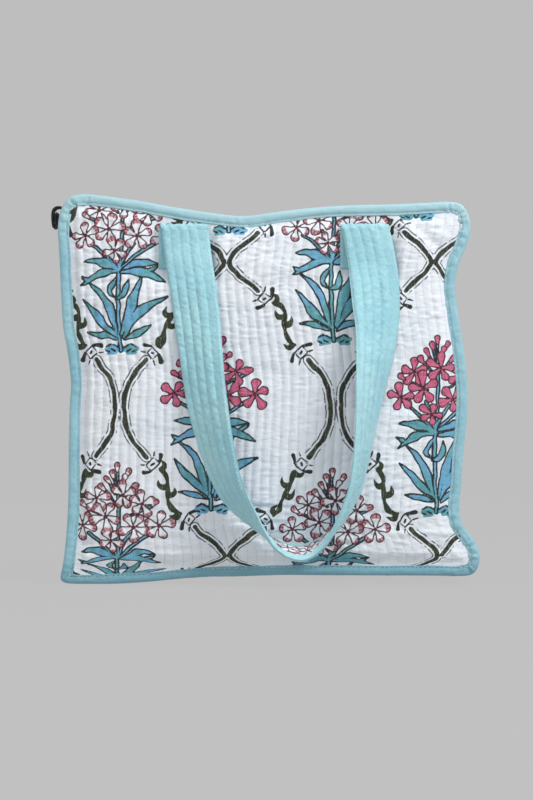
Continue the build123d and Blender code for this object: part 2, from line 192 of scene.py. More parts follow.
class S:
    """A node socket with arithmetic, so that a pattern reads as a formula."""
    def __init__(self, tree, socket):
        self.t, self.s = tree, socket

    def op(self, kind, *others, clamp=False):
        n = self.t.nodes.new("ShaderNodeMath")
        n.operation = kind
        n.use_clamp = clamp
        for k, v in enumerate((self, *others)):
            if isinstance(v, S):
                self.t.links.new(v.s, n.inputs[k])
            else:
                n.inputs[k].default_value = float(v)
        return S(self.t, n.outputs[0])

    def __add__(self, o): return self.op("ADD", o)
    def __sub__(self, o): return self.op("SUBTRACT", o)
    def __mul__(self, o): return self.op("MULTIPLY", o)
    def __neg__(self): return self.op("MULTIPLY", -1)
    def abs(self): return self.op("ABSOLUTE")
    def min(self, o): return self.op("MINIMUM", o)
    def max(self, o): return self.op("MAXIMUM", o)
    def sin(self): return self.op("SINE")
    def fract(self): return self.op("FRACT")

    def ramp(self, a, b, lo=0.0, hi=1.0):
        n = self.t.nodes.new("ShaderNodeMapRange")
        n.interpolation_type = "SMOOTHSTEP"
        self.t.links.new(self.s, n.inputs["Value"])
        swap = a > b
        n.inputs["From Min"].default_value, n.inputs["From Max"].default_value = (b, a) if swap else (a, b)
        n.inputs["To Min"].default_value, n.inputs["To Max"].default_value = (hi, lo) if swap else (lo, hi)
        return S(self.t, n.outputs["Result"])


class Mat:
    def __init__(self, name):
        self.m = bpy.data.materials.new(name)
        self.m.use_nodes = True
        self.t = self.m.node_tree
        self.t.nodes.clear()
        self.out = self.t.nodes.new("ShaderNodeOutputMaterial")
        self.b = self.t.nodes.new("ShaderNodeBsdfPrincipled")
        self.t.links.new(self.b.outputs[0], self.out.inputs[0])
        self.where = self.t.nodes.new("ShaderNodeTexCoord").outputs["Object"]

    def at(self, name):
        n = self.t.nodes.new("ShaderNodeAttribute")
        n.attribute_name = name
        s = self.t.nodes.new("ShaderNodeSeparateXYZ")
        self.t.links.new(n.outputs["Vector"], s.inputs[0])
        return [S(self.t, s.outputs[k]) for k in range(3)]

    def xyz(self):
        s = self.t.nodes.new("ShaderNodeSeparateXYZ")
        self.t.links.new(self.where, s.inputs[0])
        return [S(self.t, s.outputs[k]) for k in range(3)]

    def noise(self, scale, detail=2.0, rough=0.5, stretch=None):
        n = self.t.nodes.new("ShaderNodeTexNoise")
        n.inputs["Scale"].default_value = scale
        n.inputs["Detail"].default_value = detail
        n.inputs["Roughness"].default_value = rough
        src = self.where
        if stretch:
            k = self.t.nodes.new("ShaderNodeMapping")
            k.inputs["Scale"].default_value = stretch
            self.t.links.new(self.where, k.inputs["Vector"])
            src = k.outputs[0]
        self.t.links.new(src, n.inputs["Vector"])
        return S(self.t, n.outputs["Fac"])

    def mix(self, fac, a, b):
        n = self.t.nodes.new("ShaderNodeMix")
        n.data_type = "RGBA"
        for sock, v in ((n.inputs[0], fac), (n.inputs[6], a), (n.inputs[7], b)):
            if isinstance(v, S):
                self.t.links.new(v.s, sock)
            elif isinstance(v, (int, float)):
                sock.default_value = v
            else:
                sock.default_value = (*v, 1)
        return S(self.t, n.outputs[2])

    def scale(self, colour, k):
        n = self.t.nodes.new("ShaderNodeVectorMath")
        n.operation = "SCALE"
        self.t.links.new(colour.s, n.inputs[0])
        self.t.links.new(k.s, n.inputs["Scale"])
        return S(self.t, n.outputs[0])

    def weave(self, threads):
        """Plain weave: threads per metre in both directions, over and under."""
        x, y, z = self.xyz()
        a = (x * (TAU * threads)).sin()
        b = (z * (TAU * threads)).sin()
        c = (y * (TAU * threads)).sin()
        return a * b + c * 0.5 * (a + b)

    def bump(self, height, strength, distance):
        n = self.t.nodes.new("ShaderNodeBump")
        n.inputs["Strength"].default_value = strength
        n.inputs["Distance"].default_value = distance
        self.t.links.new(height.s, n.inputs["Height"])
        self.t.links.new(n.outputs[0], self.b.inputs["Normal"])

    def end(self, colour, rough=0.85, sheen=0.25, spec=0.3, rough_link=None):
        if isinstance(colour, S):
            self.t.links.new(colour.s, self.b.inputs["Base Color"])
        else:
            self.b.inputs["Base Color"].default_value = (*colour, 1)
        self.b.inputs["Roughness"].default_value = rough
        if rough_link is not None:
            self.t.links.new(rough_link.s, self.b.inputs["Roughness"])
        self.b.inputs["Sheen Weight"].default_value = sheen
        self.b.inputs["Sheen Roughness"].default_value = 0.45
        self.b.inputs["Specular IOR Level"].default_value = spec
        return self.m


def srgb(r, g, b):
    return tuple(c / 255 / 12.92 if c <= 10.31 else ((c / 255 + 0.055) / 1.055) ** 2.4 for c in (r, g, b))


WHITE = srgb(228, 233, 239)


def printed(name, ground=WHITE, seed_off=0.0):
    m = Mat(name)
    leaf_fill, leaf_a, leaf_b = m.at("print_leaf")
    pet_fill, pet_a, pet_b = m.at("print_petal")
    stem, vine, orn = m.at("print_trellis")
    tip, lat, pink = m.at("print_tone")
    q, along, env = m.at("quilt")
    wob = (m.noise(420, 2.0) - 0.5) * 1.5
    dry = m.noise(150, 3.0, 0.6)
    fibre = m.noise(1400, 2.0, 0.6)
    slow = m.noise(16, 2.0)
    col = m.mix(slow.ramp(0.3, 0.7), ground, tuple(c * k for c, k in zip(ground, (0.955, 0.97, 0.985))))
    # the trellis: a dark stem between two thin lines, thorny vines and small joints
    line = ((stem - 4.6 + wob * 0.4).abs() - 0.36 + wob * 0.32).ramp(0.42, 0.05)
    col = m.mix(line * dry.ramp(0.40, 0.50) * 0.92, col, srgb(30, 32, 26))
    stalk = (stem - 2.15 + wob * 0.6).ramp(0.35, -0.1)
    green = m.mix(dry.ramp(0.45, 0.70), srgb(30, 34, 18), srgb(66, 70, 46))
    col = m.mix(stalk * dry.ramp(0.20, 0.34, 0.55, 1.0), col, green)
    col = m.mix((vine + wob * 0.3).ramp(0.3, -0.15), col, m.mix(dry.ramp(0.45, 0.75), srgb(34, 44, 14), srgb(58, 68, 28)))
    col = m.mix((orn + wob * 0.3).ramp(0.3, -0.1), col, srgb(26, 27, 24))
    # leaves: flat colour laid a little off its outline
    hue = m.noise(38, 1.0)
    leaf = m.mix(hue.ramp(0.40, 0.60), srgb(72, 150, 162), srgb(92, 162, 200))
    leaf = m.mix(dry.ramp(0.50, 0.75, 0.0, 0.35), leaf, srgb(150, 200, 216))
    col = m.mix((leaf_fill + wob * 0.35).ramp(0.35, -0.25, 0.0, 0.96), col, leaf)
    edge_b = (leaf_b.abs() - 0.62 + wob * 0.42).ramp(0.40, 0.0)
    edge_a = (leaf_a.abs() - 0.62 + wob * 0.42).ramp(0.40, 0.0) * leaf_b.ramp(0.0, 0.5)
    ink = m.mix(hue.ramp(0.35, 0.65), srgb(16, 40, 36), srgb(14, 20, 24))
    col = m.mix(edge_b.max(edge_a) * dry.ramp(0.22, 0.38, 0.35, 1.0), col, ink)
    # flowers: one block in pink, one left white with red tips
    hatch = ((lat * 1.9 + wob * 0.8).sin()).ramp(0.1, 0.8)
    red = tip.ramp(0.66, 0.75) * (hatch * 0.30 + 0.70) * dry.ramp(0.28, 0.42, 0.45, 1.0)
    pale = m.mix(red, tuple(c * 0.99 for c in ground), srgb(148, 26, 52))
    rose = m.mix((tip.ramp(0.45, 0.85) * hatch) * 0.60 + dry.ramp(0.5, 0.7, 0.0, 0.30), srgb(203, 98, 134), srgb(158, 40, 76))
    petal = m.mix(pink.ramp(0.3, 0.7), pale, rose)
    col = m.mix((pet_fill + wob * 0.25).ramp(0.35, -0.2), col, petal)
    pe_b = (pet_b.abs() - 0.48 + wob * 0.38).ramp(0.40, 0.0)
    pe_a = (pet_a.abs() - 0.48 + wob * 0.38).ramp(0.40, 0.0) * pet_b.ramp(0.0, 0.5)
    heart = (tip - 0.13).ramp(0.06, -0.02) * pet_fill.min(pet_a.min(pet_b)).ramp(0.6, 0.0)
    col = m.mix(pe_b.max(pe_a).max(heart) * dry.ramp(0.20, 0.34, 0.5, 1.0), col, m.mix(pink.ramp(0.3, 0.7), srgb(78, 16, 34), srgb(66, 12, 28)))
    # cloth: quilting thread in the valleys, painted shade in the valleys between the thread's dashes, and the weave
    near = (q.fract() - 0.5).abs().ramp(0.475, 0.497)
    dash = ((along * (TAU / 4.4)).sin()).ramp(-0.25, 0.15)
    thread = near * dash * env
    col = m.mix(thread * 0.55, col, tuple(min(1.0, c * 1.04) for c in ground))
    # painted shade: grey where the cloth dips into the stitch valley between the thread's dashes
    col = m.mix(near * (dash * -1 + 1) * env * 0.42, col, srgb(112, 124, 136))
    col = m.mix(fibre.ramp(0.35, 0.75, 0.0, 0.10), col, srgb(205, 212, 216))
    crinkle = m.noise(1.0, 3.0, 0.55, stretch=(95, 95, 330)) * (near * 0.5 + 0.5)
    height = m.weave(1250) * 0.00006 + fibre * 0.00016 + thread * 0.00035 + crinkle * 0.0032
    m.bump(height, 0.62, 1.0)
    return m.end(col, rough=0.88, sheen=0.2, spec=0.25)


def plain(name, base, light, dark, weave=1250, sheen=0.3, strength=0.6, blotch=26, low=None, painted_top_highlight=None):
    m = Mat(name)
    slow, mid, fibre = m.noise(blotch, 2.0), m.noise(240, 3.0, 0.6), m.noise(1500, 2.0, 0.6)
    col = m.mix(slow.ramp(0.32, 0.68), base, light)
    col = m.mix(mid.ramp(0.45, 0.72, 0.0, 0.45), col, dark)
    col = m.mix(fibre.ramp(0.40, 0.75, 0.0, 0.30), col, light)
    if low:
        # painted shade and highlight: darker towards the bottom of the bag where the binding turns under, lighter along
        # the top
        z = m.xyz()[2]
        col = m.mix(z.ramp(0.034, 0.010, 0.0, 0.72), col, low)
        col = m.mix(z.ramp(0.345, 0.372, 0.0, 0.65), col, painted_top_highlight)
    m.bump(m.weave(weave) * 0.00008 + fibre * 0.0002 + mid * 0.0002, strength, 1.0)
    return m.end(col, rough=0.86, sheen=sheen, spec=0.25)


PRINT = printed("cotton_block_print")
# the binding blue, with a painted shade colour for the bottom and a painted highlight colour for the top
BLUE = plain("cotton_sky_blue", srgb(139, 188, 202), srgb(156, 200, 211), srgb(114, 169, 186), low=srgb(106, 152, 168), painted_top_highlight=srgb(172, 208, 215))
LINING = plain("cotton_lining", srgb(228, 226, 216), srgb(236, 234, 226), srgb(206, 203, 192), weave=1100)
THREAD = plain("thread_pale", srgb(196, 222, 228), srgb(214, 232, 236), srgb(160, 200, 210), weave=2600, strength=0.9)
TAPE = plain("zip_tape_woven", srgb(30, 30, 33), srgb(44, 44, 48), srgb(18, 18, 20), weave=900, sheen=0.15)


def moulded(name, base, rough, metal):
    m = Mat(name)
    fine, mid = m.noise(900, 3.0, 0.6), m.noise(160, 2.0)
    col = m.mix(mid.ramp(0.35, 0.7, 0.0, 0.6), base, tuple(min(1, c * 1.9 + 0.004) for c in base))
    m.bump(fine * 0.00006, 0.5, 1.0)
    m.b.inputs["Metallic"].default_value = metal
    return m.end(col, rough=rough, sheen=0.0, spec=0.5, rough_link=fine.ramp(0.3, 0.7, rough - 0.08, rough + 0.12))


TEETH = moulded("zip_teeth_moulded", srgb(28, 28, 31), 0.45, 0.0)
METAL = moulded("zip_lacquered_metal", srgb(40, 40, 43), 0.34, 0.7)

# ------------------------------------------------------------------------------------------------ the block print

def stroke(px, pz, pts, rad):
    """Signed distance to a stroke of changing width: negative inside."""
    best = np.full(px.shape, 9.0)
    for (ax, az), (bx, bz), ra, rb in zip(pts[:-1], pts[1:], rad[:-1], rad[1:]):
        dx, dz = bx - ax, bz - az
        t = np.clip(((px - ax) * dx + (pz - az) * dz) / max(dx * dx + dz * dz, 1e-9), 0, 1)
        best = np.minimum(best, np.hypot(px - ax - dx * t, pz - az - dz * t) - (ra + (rb - ra) * t))
    return best


def bow(a, b, bend, n=7):
    """A curved line from a to b that leaves the straight one by bend at its middle."""
    a, b = np.array(a, float), np.array(b, float)
    d = b - a
    side = np.array([-d[1], d[0]]) / max(np.hypot(*d), 1e-9)
    t = np.linspace(0, 1, n)[:, None]
    return a + d * t + side * (4 * bend * t * (1 - t))


# Leaves of the plant, in millimetres from where it meets the ground: a centreline and the leaf's width.
LEAVES = [
    ([(-3, 10), (-11, 40), (-19, 53), (-33, 65)], 7.4), ([(2, 14), (9, 40), (15, 56), (22, 72)], 8.6),
    ([(-3, 12), (-17, 24), (-27, 36), (-38, 48)], 7.2), ([(3, 12), (14, 30), (27, 43), (46, 51)], 8.8),
    ([(-4, 9), (-14, 13), (-24, 15), (-33, 15)], 5.6), ([(4, 9), (13, 14), (21, 17), (31, 23)], 6.2),
    ([(-2, 76), (-12, 77), (-24, 73), (-40, 63)], 6.6), ([(1, 75), (14, 77), (26, 74), (43, 66)], 8.2),
    ([(-3, 78), (-14, 83), (-26, 87), (-37, 86)], 8.0), ([(2, 78), (12, 83), (24, 86), (37, 83)], 7.0),
    ([(-3, 70), (-9, 64), (-10, 56), (-4, 50)], 4.6), ([(-4, 49), (3, 52), (6, 59), (6, 68)], 6.0),
    ([(-30, 68), (-36, 69), (-40, 72)], 3.6), ([(24, 77), (32, 79), (37, 82)], 3.4),
]
# Flowers: centre and the reach of a petal.
FLOWERS = [(-37, 112, 14.5), (-13, 120, 16.5), (16, 112, 16.0), (42, 113, 15.5), (-23, 139, 14.5), (4, 143, 14.5), (25, 134, 14.5), (-7, 96, 13.5)]
BUDS = [(-10, 157, -0.5), (7, 159, 0.4), (0, 170, 0.0), (-16, 150, -0.8), (17, 151, 0.9), (-5, 164, -0.3), (11, 165, 0.5), (-36, 133, -0.9), (37, 135, 0.8)]


def place_plant(F, X, Z, bx, bz, pink, flip, seed):
    r = np.random.default_rng(seed)
    sx = -1 if flip else 1
    near = (np.abs(X - bx) < 66) & (Z > bz - 20) & (Z < bz + 186)
    if not near.any():
        return
    lx, lz = (X[near] - bx) * sx, Z[near] - bz
    got = {k: F[k][near] for k in ("leaf_fill", "leaf_a", "leaf_b", "pet_fill", "pet_a", "pet_b", "tip", "lat", "pink")}
    lx, lz = lx + noise(lx / 7, lz / 7, seed + 1) * 0.7, lz + noise(lx / 7, lz / 7, seed + 2) * 0.7

    def lay(pts, rad, fill, lines, shift=(0.7, -0.5)):
        pts = np.array(pts, float)
        pad = max(rad) + 3.5
        m = (lx > pts[:, 0].min() - pad) & (lx < pts[:, 0].max() + pad) & (lz > pts[:, 1].min() - pad) & (lz < pts[:, 1].max() + pad)
        if not m.any():
            return None, None
        d = stroke(lx[m], lz[m], pts, rad)
        if lines:
            got[lines][m] = np.minimum(got[lines][m], d)
        if fill:
            got[fill][m] = np.minimum(got[fill][m], stroke(lx[m] - shift[0] * sx, lz[m] - shift[1], pts, rad))
        return m, d

    # the stem, its branches, the leaves and the ground
    lay(bow((0, -2), (-2, 78), 1.2), [1.7] * 7, "leaf_fill", "leaf_a")
    for fx, fz in ((-11, 108), (13, 104), (-30, 104), (32, 104), (0, 158)):
        lay(bow((-2, 76), (fx, fz), 2.0 if fx > 0 else -2.0), [1.5] * 7, "leaf_fill", "leaf_a")
    for k, (line, wide) in enumerate(LEAVES):
        pts = curve([(x + r.uniform(-1.1, 1.1), z + r.uniform(-1.1, 1.1)) for x, z in line], 11)
        t = np.linspace(0, 1, 11)
        rad = wide * 0.57 * np.clip(np.minimum(0.30 + 1.6 * t, 1.0) * np.clip((1.02 - t) / 0.52, 0, 1) ** 0.75, 0.05, 1) * (1 + 0.13 * np.sin(t * 13 + r.uniform(0, 6)))
        lay(pts, rad, "leaf_fill", "leaf_b" if k % 2 else "leaf_a")
    for side in (-1, 1):
        for ox, oz, rr in ((4, -0.5, 2.6), (9.5, 1.5, 3.0), (14.0, -0.5, 2.2), (7.5, -3.5, 2.4), (12.5, -4.5, 1.6)):
            lay([(side * ox - 1.5, oz), (side * ox + 1.5, oz + 0.5)], [rr * 0.9, rr], "leaf_fill", None)
        for x0, z0, x1, z1 in ((3, 1, 8, 3.5), (10, 4, 15, 1.5), (6, -3, 10, -1), (12, -3.5, 15, -2.5)):
            lay([(side * x0, z0), (side * x1, z1)], [0.25, 0.1], None, "leaf_a")
    for k, (ux, uz, lean) in enumerate(BUDS):
        d1, d2 = np.array([math.sin(lean), math.cos(lean)]), np.array([ux, uz], float)
        foot = np.array([ux * 0.25, uz - 14.0])
        lay([foot, d2 - d1 * 5], [0.9, 1.4], "leaf_fill", "leaf_b")
        m, d = lay([d2 - d1 * 4.0, d2 + d1 * 1.5], [1.4, 2.9], "pet_fill", "pet_b" if k % 2 else "pet_a", (0.5, -0.4))
        if m is not None:
            idx = np.where(m)[0][d < 1.5]
            got["tip"][idx] = np.clip(0.45 + ((lx[idx] - ux) * d1[0] + (lz[idx] - uz) * d1[1] + 3) / 10, 0.2, 1)
            got["lat"][idx] = (lx[idx] - ux) * d1[1] - (lz[idx] - uz) * d1[0]
    for k, (cx, cz, reach) in enumerate(FLOWERS):
        cx, cz = cx + r.uniform(-1.5, 1.5), cz + r.uniform(-1.5, 1.5)
        tilt, squeeze, turn = r.uniform(0, TAU), r.uniform(0.80, 1.0), r.uniform(0, TAU / 5)
        lines = "pet_b" if k % 2 else "pet_a"
        c = np.array([cx, cz])
        for p in range(5):
            a = turn + TAU * p / 5 + r.uniform(-0.16, 0.16)
            v = np.array([math.sin(a), math.cos(a)])
            ax = np.array([math.cos(tilt), math.sin(tilt)])
            v = v - ax * (v @ ax) * (1 - squeeze)
            R = reach * r.uniform(0.90, 1.08)
            m, d = lay([c + v * R * 0.10, c + v * R * 0.40, c + v * R * 0.72], [R * 0.08, R * 0.15, R * 0.285], "pet_fill", lines, (0.5, -0.4))
            if m is None:
                continue
            idx = np.where(m)[0][d < 1.2]
            if lines == "pet_a":
                idx = idx[got["pet_b"][idx] > 0.2]
            got["tip"][idx] = np.hypot(lx[idx] - cx, lz[idx] - cz) / R
            got["lat"][idx] = (lx[idx] - cx) * v[1] - (lz[idx] - cz) * v[0]
    # only the petals laid by this plant take its colour
    was = np.minimum(np.minimum(F["pet_a"][near], F["pet_b"][near]), F["pet_fill"][near])
    now = np.minimum(np.minimum(got["pet_a"], got["pet_b"]), got["pet_fill"])
    got["pink"][:] = np.where((now < 3) & (now < was), 1.0 if pink else 0.0, got["pink"])
    for k, v in got.items():
        F[k][near] = v


# One limb of the trellis, from a pinched meeting point down to a rounded one: share across and share down.
LIMB = [(0.022, 0.0), (0.04, 0.03), (0.115, 0.095), (0.265, 0.18), (0.345, 0.255), (0.49, 0.325), (0.548, 0.45), (0.592, 0.56), (0.675, 0.620), (0.770, 0.695), (0.875, 0.785), (0.935, 0.885), (0.952, 1.0)]


def place_limb(F, X, Z, ax, az, bx, bz, seed, upright=True):
    """A limb of the trellis from (ax, az) down to (bx, bz)."""
    lo, hi = min(ax, bx) - 16, max(ax, bx) + 16
    near = (X > lo) & (X < hi) & (Z < az + 8) & (Z > bz - 8)
    if not near.any():
        return
    px = X[near] + noise(X[near] / 9, Z[near] / 9, seed) * 1.0
    pz = Z[near] + noise(X[near] / 9, Z[near] / 9, seed + 1) * 1.0
    shape = LIMB if upright else [(1 - u, 1 - v) for u, v in LIMB[::-1]]
    P = curve([(ax + (bx - ax) * u, az + (bz - az) * v) for u, v in shape], 96)
    d = np.gradient(P, axis=0)
    d /= np.hypot(d[:, :1], d[:, 1:])
    side = np.stack([-d[:, 1], d[:, 0]], 1)
    at = lambda v: int(np.argmin(np.abs((P[:, 1] - az) / (bz - az) - v)))
    i0, i1 = (at(0.255), at(0.625)) if upright else (at(0.375), at(0.745))
    stem, vine, orn = F["stem"][near], F["vine"][near], F["orn"][near]
    for part in (P[:i0 - 4], P[i1 + 5:]):
        stem = np.minimum(stem, np.maximum(stroke(px, pz, part, [0.0] * len(part)), 0))
    # the thorny vine between the joints
    a0, a1 = i0 + 5, i1 - 4
    n = a1 - a0
    mid, ms, md = P[a0:a1], side[a0:a1], d[a0:a1]
    core = mid + np.sin(np.linspace(0.3, TAU * 1.1, n))[:, None] * ms * 2.4
    vine = np.minimum(vine, stroke(px, pz, core, 1.35 + 1.25 * np.abs(np.sin(np.linspace(0.5, math.pi * 3.1, n)))))
    for share, s, ln in ((0.03, 1, 9.0), (0.34, -1, 10.5), (0.52, 1, 11.0), (0.97, -1, 9.5)):
        k = int(share * (n - 1))
        c, sd, dd = core[k], ms[k] * s, md[k]
        hook = curve([c - dd * 1.5, c + sd * ln * 0.34 + dd * 1.2, c + sd * ln * 0.74 - dd * 1.0, c + sd * ln * 0.78 - dd * 7.5], 9)
        vine = np.minimum(vine, stroke(px, pz, hook, np.array([1.5, 2.4, 3.0, 3.0, 2.6, 2.1, 1.5, 0.8, 0.15])))
    # the joints: a small square with a dot, a broken rim and a thick leaf on either side
    for i, way in ((i0, 1), (i1, -1)):
        c, dd, sd = P[i], d[i] * way, side[i]
        for x0, y0, x1, y1, w0, w1 in ((-3.6, -3.6, 3.4, -3.9, 0.75, 0.6), (-3.8, 3.3, 3.6, 3.6, 0.6, 0.75), (-4.1, -2.4, -3.9, 2.2, 0.7, 0.5), (4.0, -2.6, 4.1, 2.0, 0.5, 0.7),
                                       (-0.9, -0.3, 0.8, 0.4, 1.15, 1.0), (5.0, 3.0, 10.5, -0.6, 1.3, 2.1), (-5.2, 3.2, -10.0, 0.0, 1.2, 2.0), (5.4, -4.2, 8.8, -6.0, 0.9, 0.6), (-5.4, -4.4, -8.2, -6.4, 0.9, 0.6)):
            orn = np.minimum(orn, stroke(px, pz, [c + (sd * x0 + dd * y0) * 1.18, c + (sd * x1 + dd * y1) * 1.18], [w0, w1]))
    F["stem"][near], F["vine"][near], F["orn"][near] = stem, vine, orn


COLUMN, DROP = 106.5, 147.5      # the half-drop repeat


def block_print(X, Z, placed=None, meets=None, seed=1):
    """The print's fields at points of flat cloth, in millimetres."""
    shape = X.shape
    X, Z = X.ravel().astype(float), Z.ravel().astype(float)
    F = {k: np.full(X.shape, 9.0) for k in ("leaf_fill", "leaf_a", "leaf_b", "pet_fill", "pet_a", "pet_b", "stem", "vine", "orn")}
    F["tip"], F["lat"], F["pink"] = np.full(X.shape, 0.5), np.zeros(X.shape), np.zeros(X.shape)
    F["stem"][:] = 20.0
    if placed is None:
        c0, c1 = int((X.min() - 70) // COLUMN), int((X.max() + 70) // COLUMN) + 1
        r0, r1 = int((Z.min() - 200) // (2 * DROP)), int((Z.max() + 60) // (2 * DROP)) + 1
        placed = [(c * COLUMN, r * 2 * DROP + (DROP if c % 2 else 0), c % 2, False) for c in range(c0, c1 + 1) for r in range(r0, r1 + 1)]
        meets = {(c, r): (c * COLUMN, r * DROP - 58) for c in range(c0 - 1, c1 + 2) for r in range(2 * r0 - 2, 2 * r1 + 4) if (c + r) % 2 == 0}
    for k, (key, (x, z)) in enumerate(sorted(meets.items())):
        for dc in (-1, 1):
            low = meets.get((key[0] + dc, key[1] - 1))
            if low is not None:
                place_limb(F, X, Z, x, z, *low, seed * 50 + k * 2 + dc, key[1] % 2 == 0)
    for k, (x, z, pink, flip) in enumerate(placed):
        place_plant(F, X, Z, x, z, bool(pink), flip, seed * 90 + k * 5)
    pack3 = lambda *n: np.stack([F[k].reshape(shape) for k in n], -1)
    return {"print_leaf": pack3("leaf_fill", "leaf_a", "leaf_b"), "print_petal": pack3("pet_fill", "pet_a", "pet_b"),
            "print_trellis": pack3("stem", "vine", "orn"), "print_tone": pack3("tip", "lat", "pink")}


# Where the plants and the trellis fall on the front face.
FRONT_PLANTS = [(-144, 236, 0, False), (67, 245, 0, False), (-54, 78, 1, False), (170, 75, 1, False), (-147, -52, 0, False), (65, -57, 0, False),
                (-37, 355, 1, False), (150, 370, 1, False), (-254, 86, 1, False), (280, 242, 0, False)]
FRONT_MEETS = {(-2, 2): (-234, 322), (0, 2): (-39, 322), (2, 2): (167, 322), (-1, 1): (-146, 177), (1, 1): (69, 177), (3, 1): (279, 177),
               (-2, 0): (-236, 28), (0, 0): (-39, 28), (2, 0): (174, 28), (-1, 3): (-147, 467), (1, 3): (67, 467), (3, 3): (279, 467),
               (-1, -1): (-147, -118), (1, -1): (71, -118)}

# ------------------------------------------------------------------------------------------------ the face's outline

OUTLINE = [
    (-206.0, 7.0), (-203.5, 21.0), (-201.0, 42.0), (-199.0, 68.0), (-198.0, 100.0), (-197.8, 140.0), (-196.8, 180.0),
    (-195.6, 202.0), (-199.0, 232.0), (-203.5, 258.0), (-205.5, 290.0), (-207.3, 330.0), (-208.8, 354.0), (-207.5, 368.0),
    (-203.0, 381.0), (-194.0, 389.0), (-181.0, 390.8), (-160.0, 388.8), (-126.0, 384.0), (-90.0, 377.5), (-54.0, 372.0),
    (-22.0, 369.0), (14.0, 373.5), (50.0, 377.6), (90.0, 380.0), (130.0, 380.8), (166.0, 382.6), (186.0, 383.2),
    (197.0, 379.5), (203.5, 368.5), (204.8, 356.0), (201.5, 340.0), (193.5, 321.0), (189.2, 300.0), (191.0, 282.0),
    (197.0, 244.0), (201.3, 205.0), (201.5, 170.0), (198.0, 132.0), (195.3, 96.0), (193.8, 74.0), (196.5, 60.0),
    (205.0, 49.0), (211.5, 38.0), (214.3, 27.0), (212.0, 15.5), (206.0, 9.6), (196.0, 8.0), (170.0, 8.4), (120.0, 8.6),
    (60.0, 8.8), (14.0, 9.0), (-22.0, 7.8), (-60.0, 7.2), (-90.0, 5.0), (-116.0, 2.4), (-146.0, 0.4), (-176.0, 0.0),
    (-196.0, 0.4), (-203.6, 2.2),
]
RING_N = 1040
RING = curve(OUTLINE, RING_N, closed=True)
RING_STEP = np.linalg.norm(np.roll(RING, -1, 0) - RING, axis=1).mean()


def ring_inward(reach):
    """Unit-ish inward directions of the outline, fanned out at the corners so that an inset of about reach doesn't cross itself."""
    t = np.roll(RING, -2, 0) - np.roll(RING, 2, 0)
    true = unit(np.stack([t[:, 1], -t[:, 0]], 1))
    soft = unit(smooth_rows(true, reach * 1.1 / RING_STEP))
    return soft / np.clip((soft * true).sum(1, keepdims=True), 0.72, 1)


INWARD = ring_inward(12.0)
if (INWARD * (np.array([0, 190]) - RING)).sum() < 0:
    INWARD = -INWARD


def nearest_index(x, z):
    return int(np.argmin(np.hypot(RING[:, 0] - x, RING[:, 1] - z)))


BL, TL, TR, BR = nearest_index(-204.5, 3.5), nearest_index(-200.5, 385), nearest_index(199.5, 376.5), nearest_index(210, 12)


def side_curve(a, b):
    """The outline from index a to index b, going forwards."""
    n = RING_N
    idx = [(a + k) % n for k in range((b - a) % n + 1)]
    return RING[idx]


def resample(p, t):
    along = np.concatenate([[0], np.cumsum(np.linalg.norm(np.diff(p, axis=0), axis=1))])
    along /= along[-1]
    return np.stack([np.interp(t, along, p[:, c]) for c in range(p.shape[1])], -1)


LEFT, TOP, RIGHT, BOTTOM = side_curve(BL, TL), side_curve(TL, TR), side_curve(TR, BR)[::-1], side_curve(BR, BL)[::-1]


def face_points(u, v):
    """Points of the flat face: u across from 0 to 1, v up from 0 to 1. Rows are u, columns v."""
    U, V = u[:, None, None], v[None, :, None]
    l, r = resample(LEFT, v)[None], resample(RIGHT, v)[None]
    b, t = resample(BOTTOM, u)[:, None], resample(TOP, u)[:, None]
    c00, c10, c01, c11 = LEFT[0], RIGHT[0], LEFT[-1], RIGHT[-1]
    return (1 - U) * l + U * r + (1 - V) * b + V * t - ((1 - U) * (1 - V) * c00 + U * (1 - V) * c10 + (1 - U) * V * c01 + U * V * c11)


# ------------------------------------------------------------------------------------------------ soft shape of a face, by cloth simulation

def bicubic(a, n, m):
    """Smooth resampling of a small array to n by m, ends kept."""
    def one(a, n):
        x = np.linspace(0, a.shape[0] - 1, n)
        i = np.clip(np.floor(x).astype(int), 0, a.shape[0] - 2)
        t = (x - i)[(slice(None),) + (None,) * (a.ndim - 1)]
        g = lambda k: a[np.clip(i + k, 0, a.shape[0] - 1)]
        return 0.5 * (2 * g(0) + (g(1) - g(-1)) * t + (2 * g(-1) - 5 * g(0) + 4 * g(1) - g(2)) * t ** 2 + (3 * g(0) - g(-1) - 3 * g(1) + g(2)) * t ** 3)
    return np.swapaxes(one(np.swapaxes(one(a, n), 0, 1), m), 0, 1)


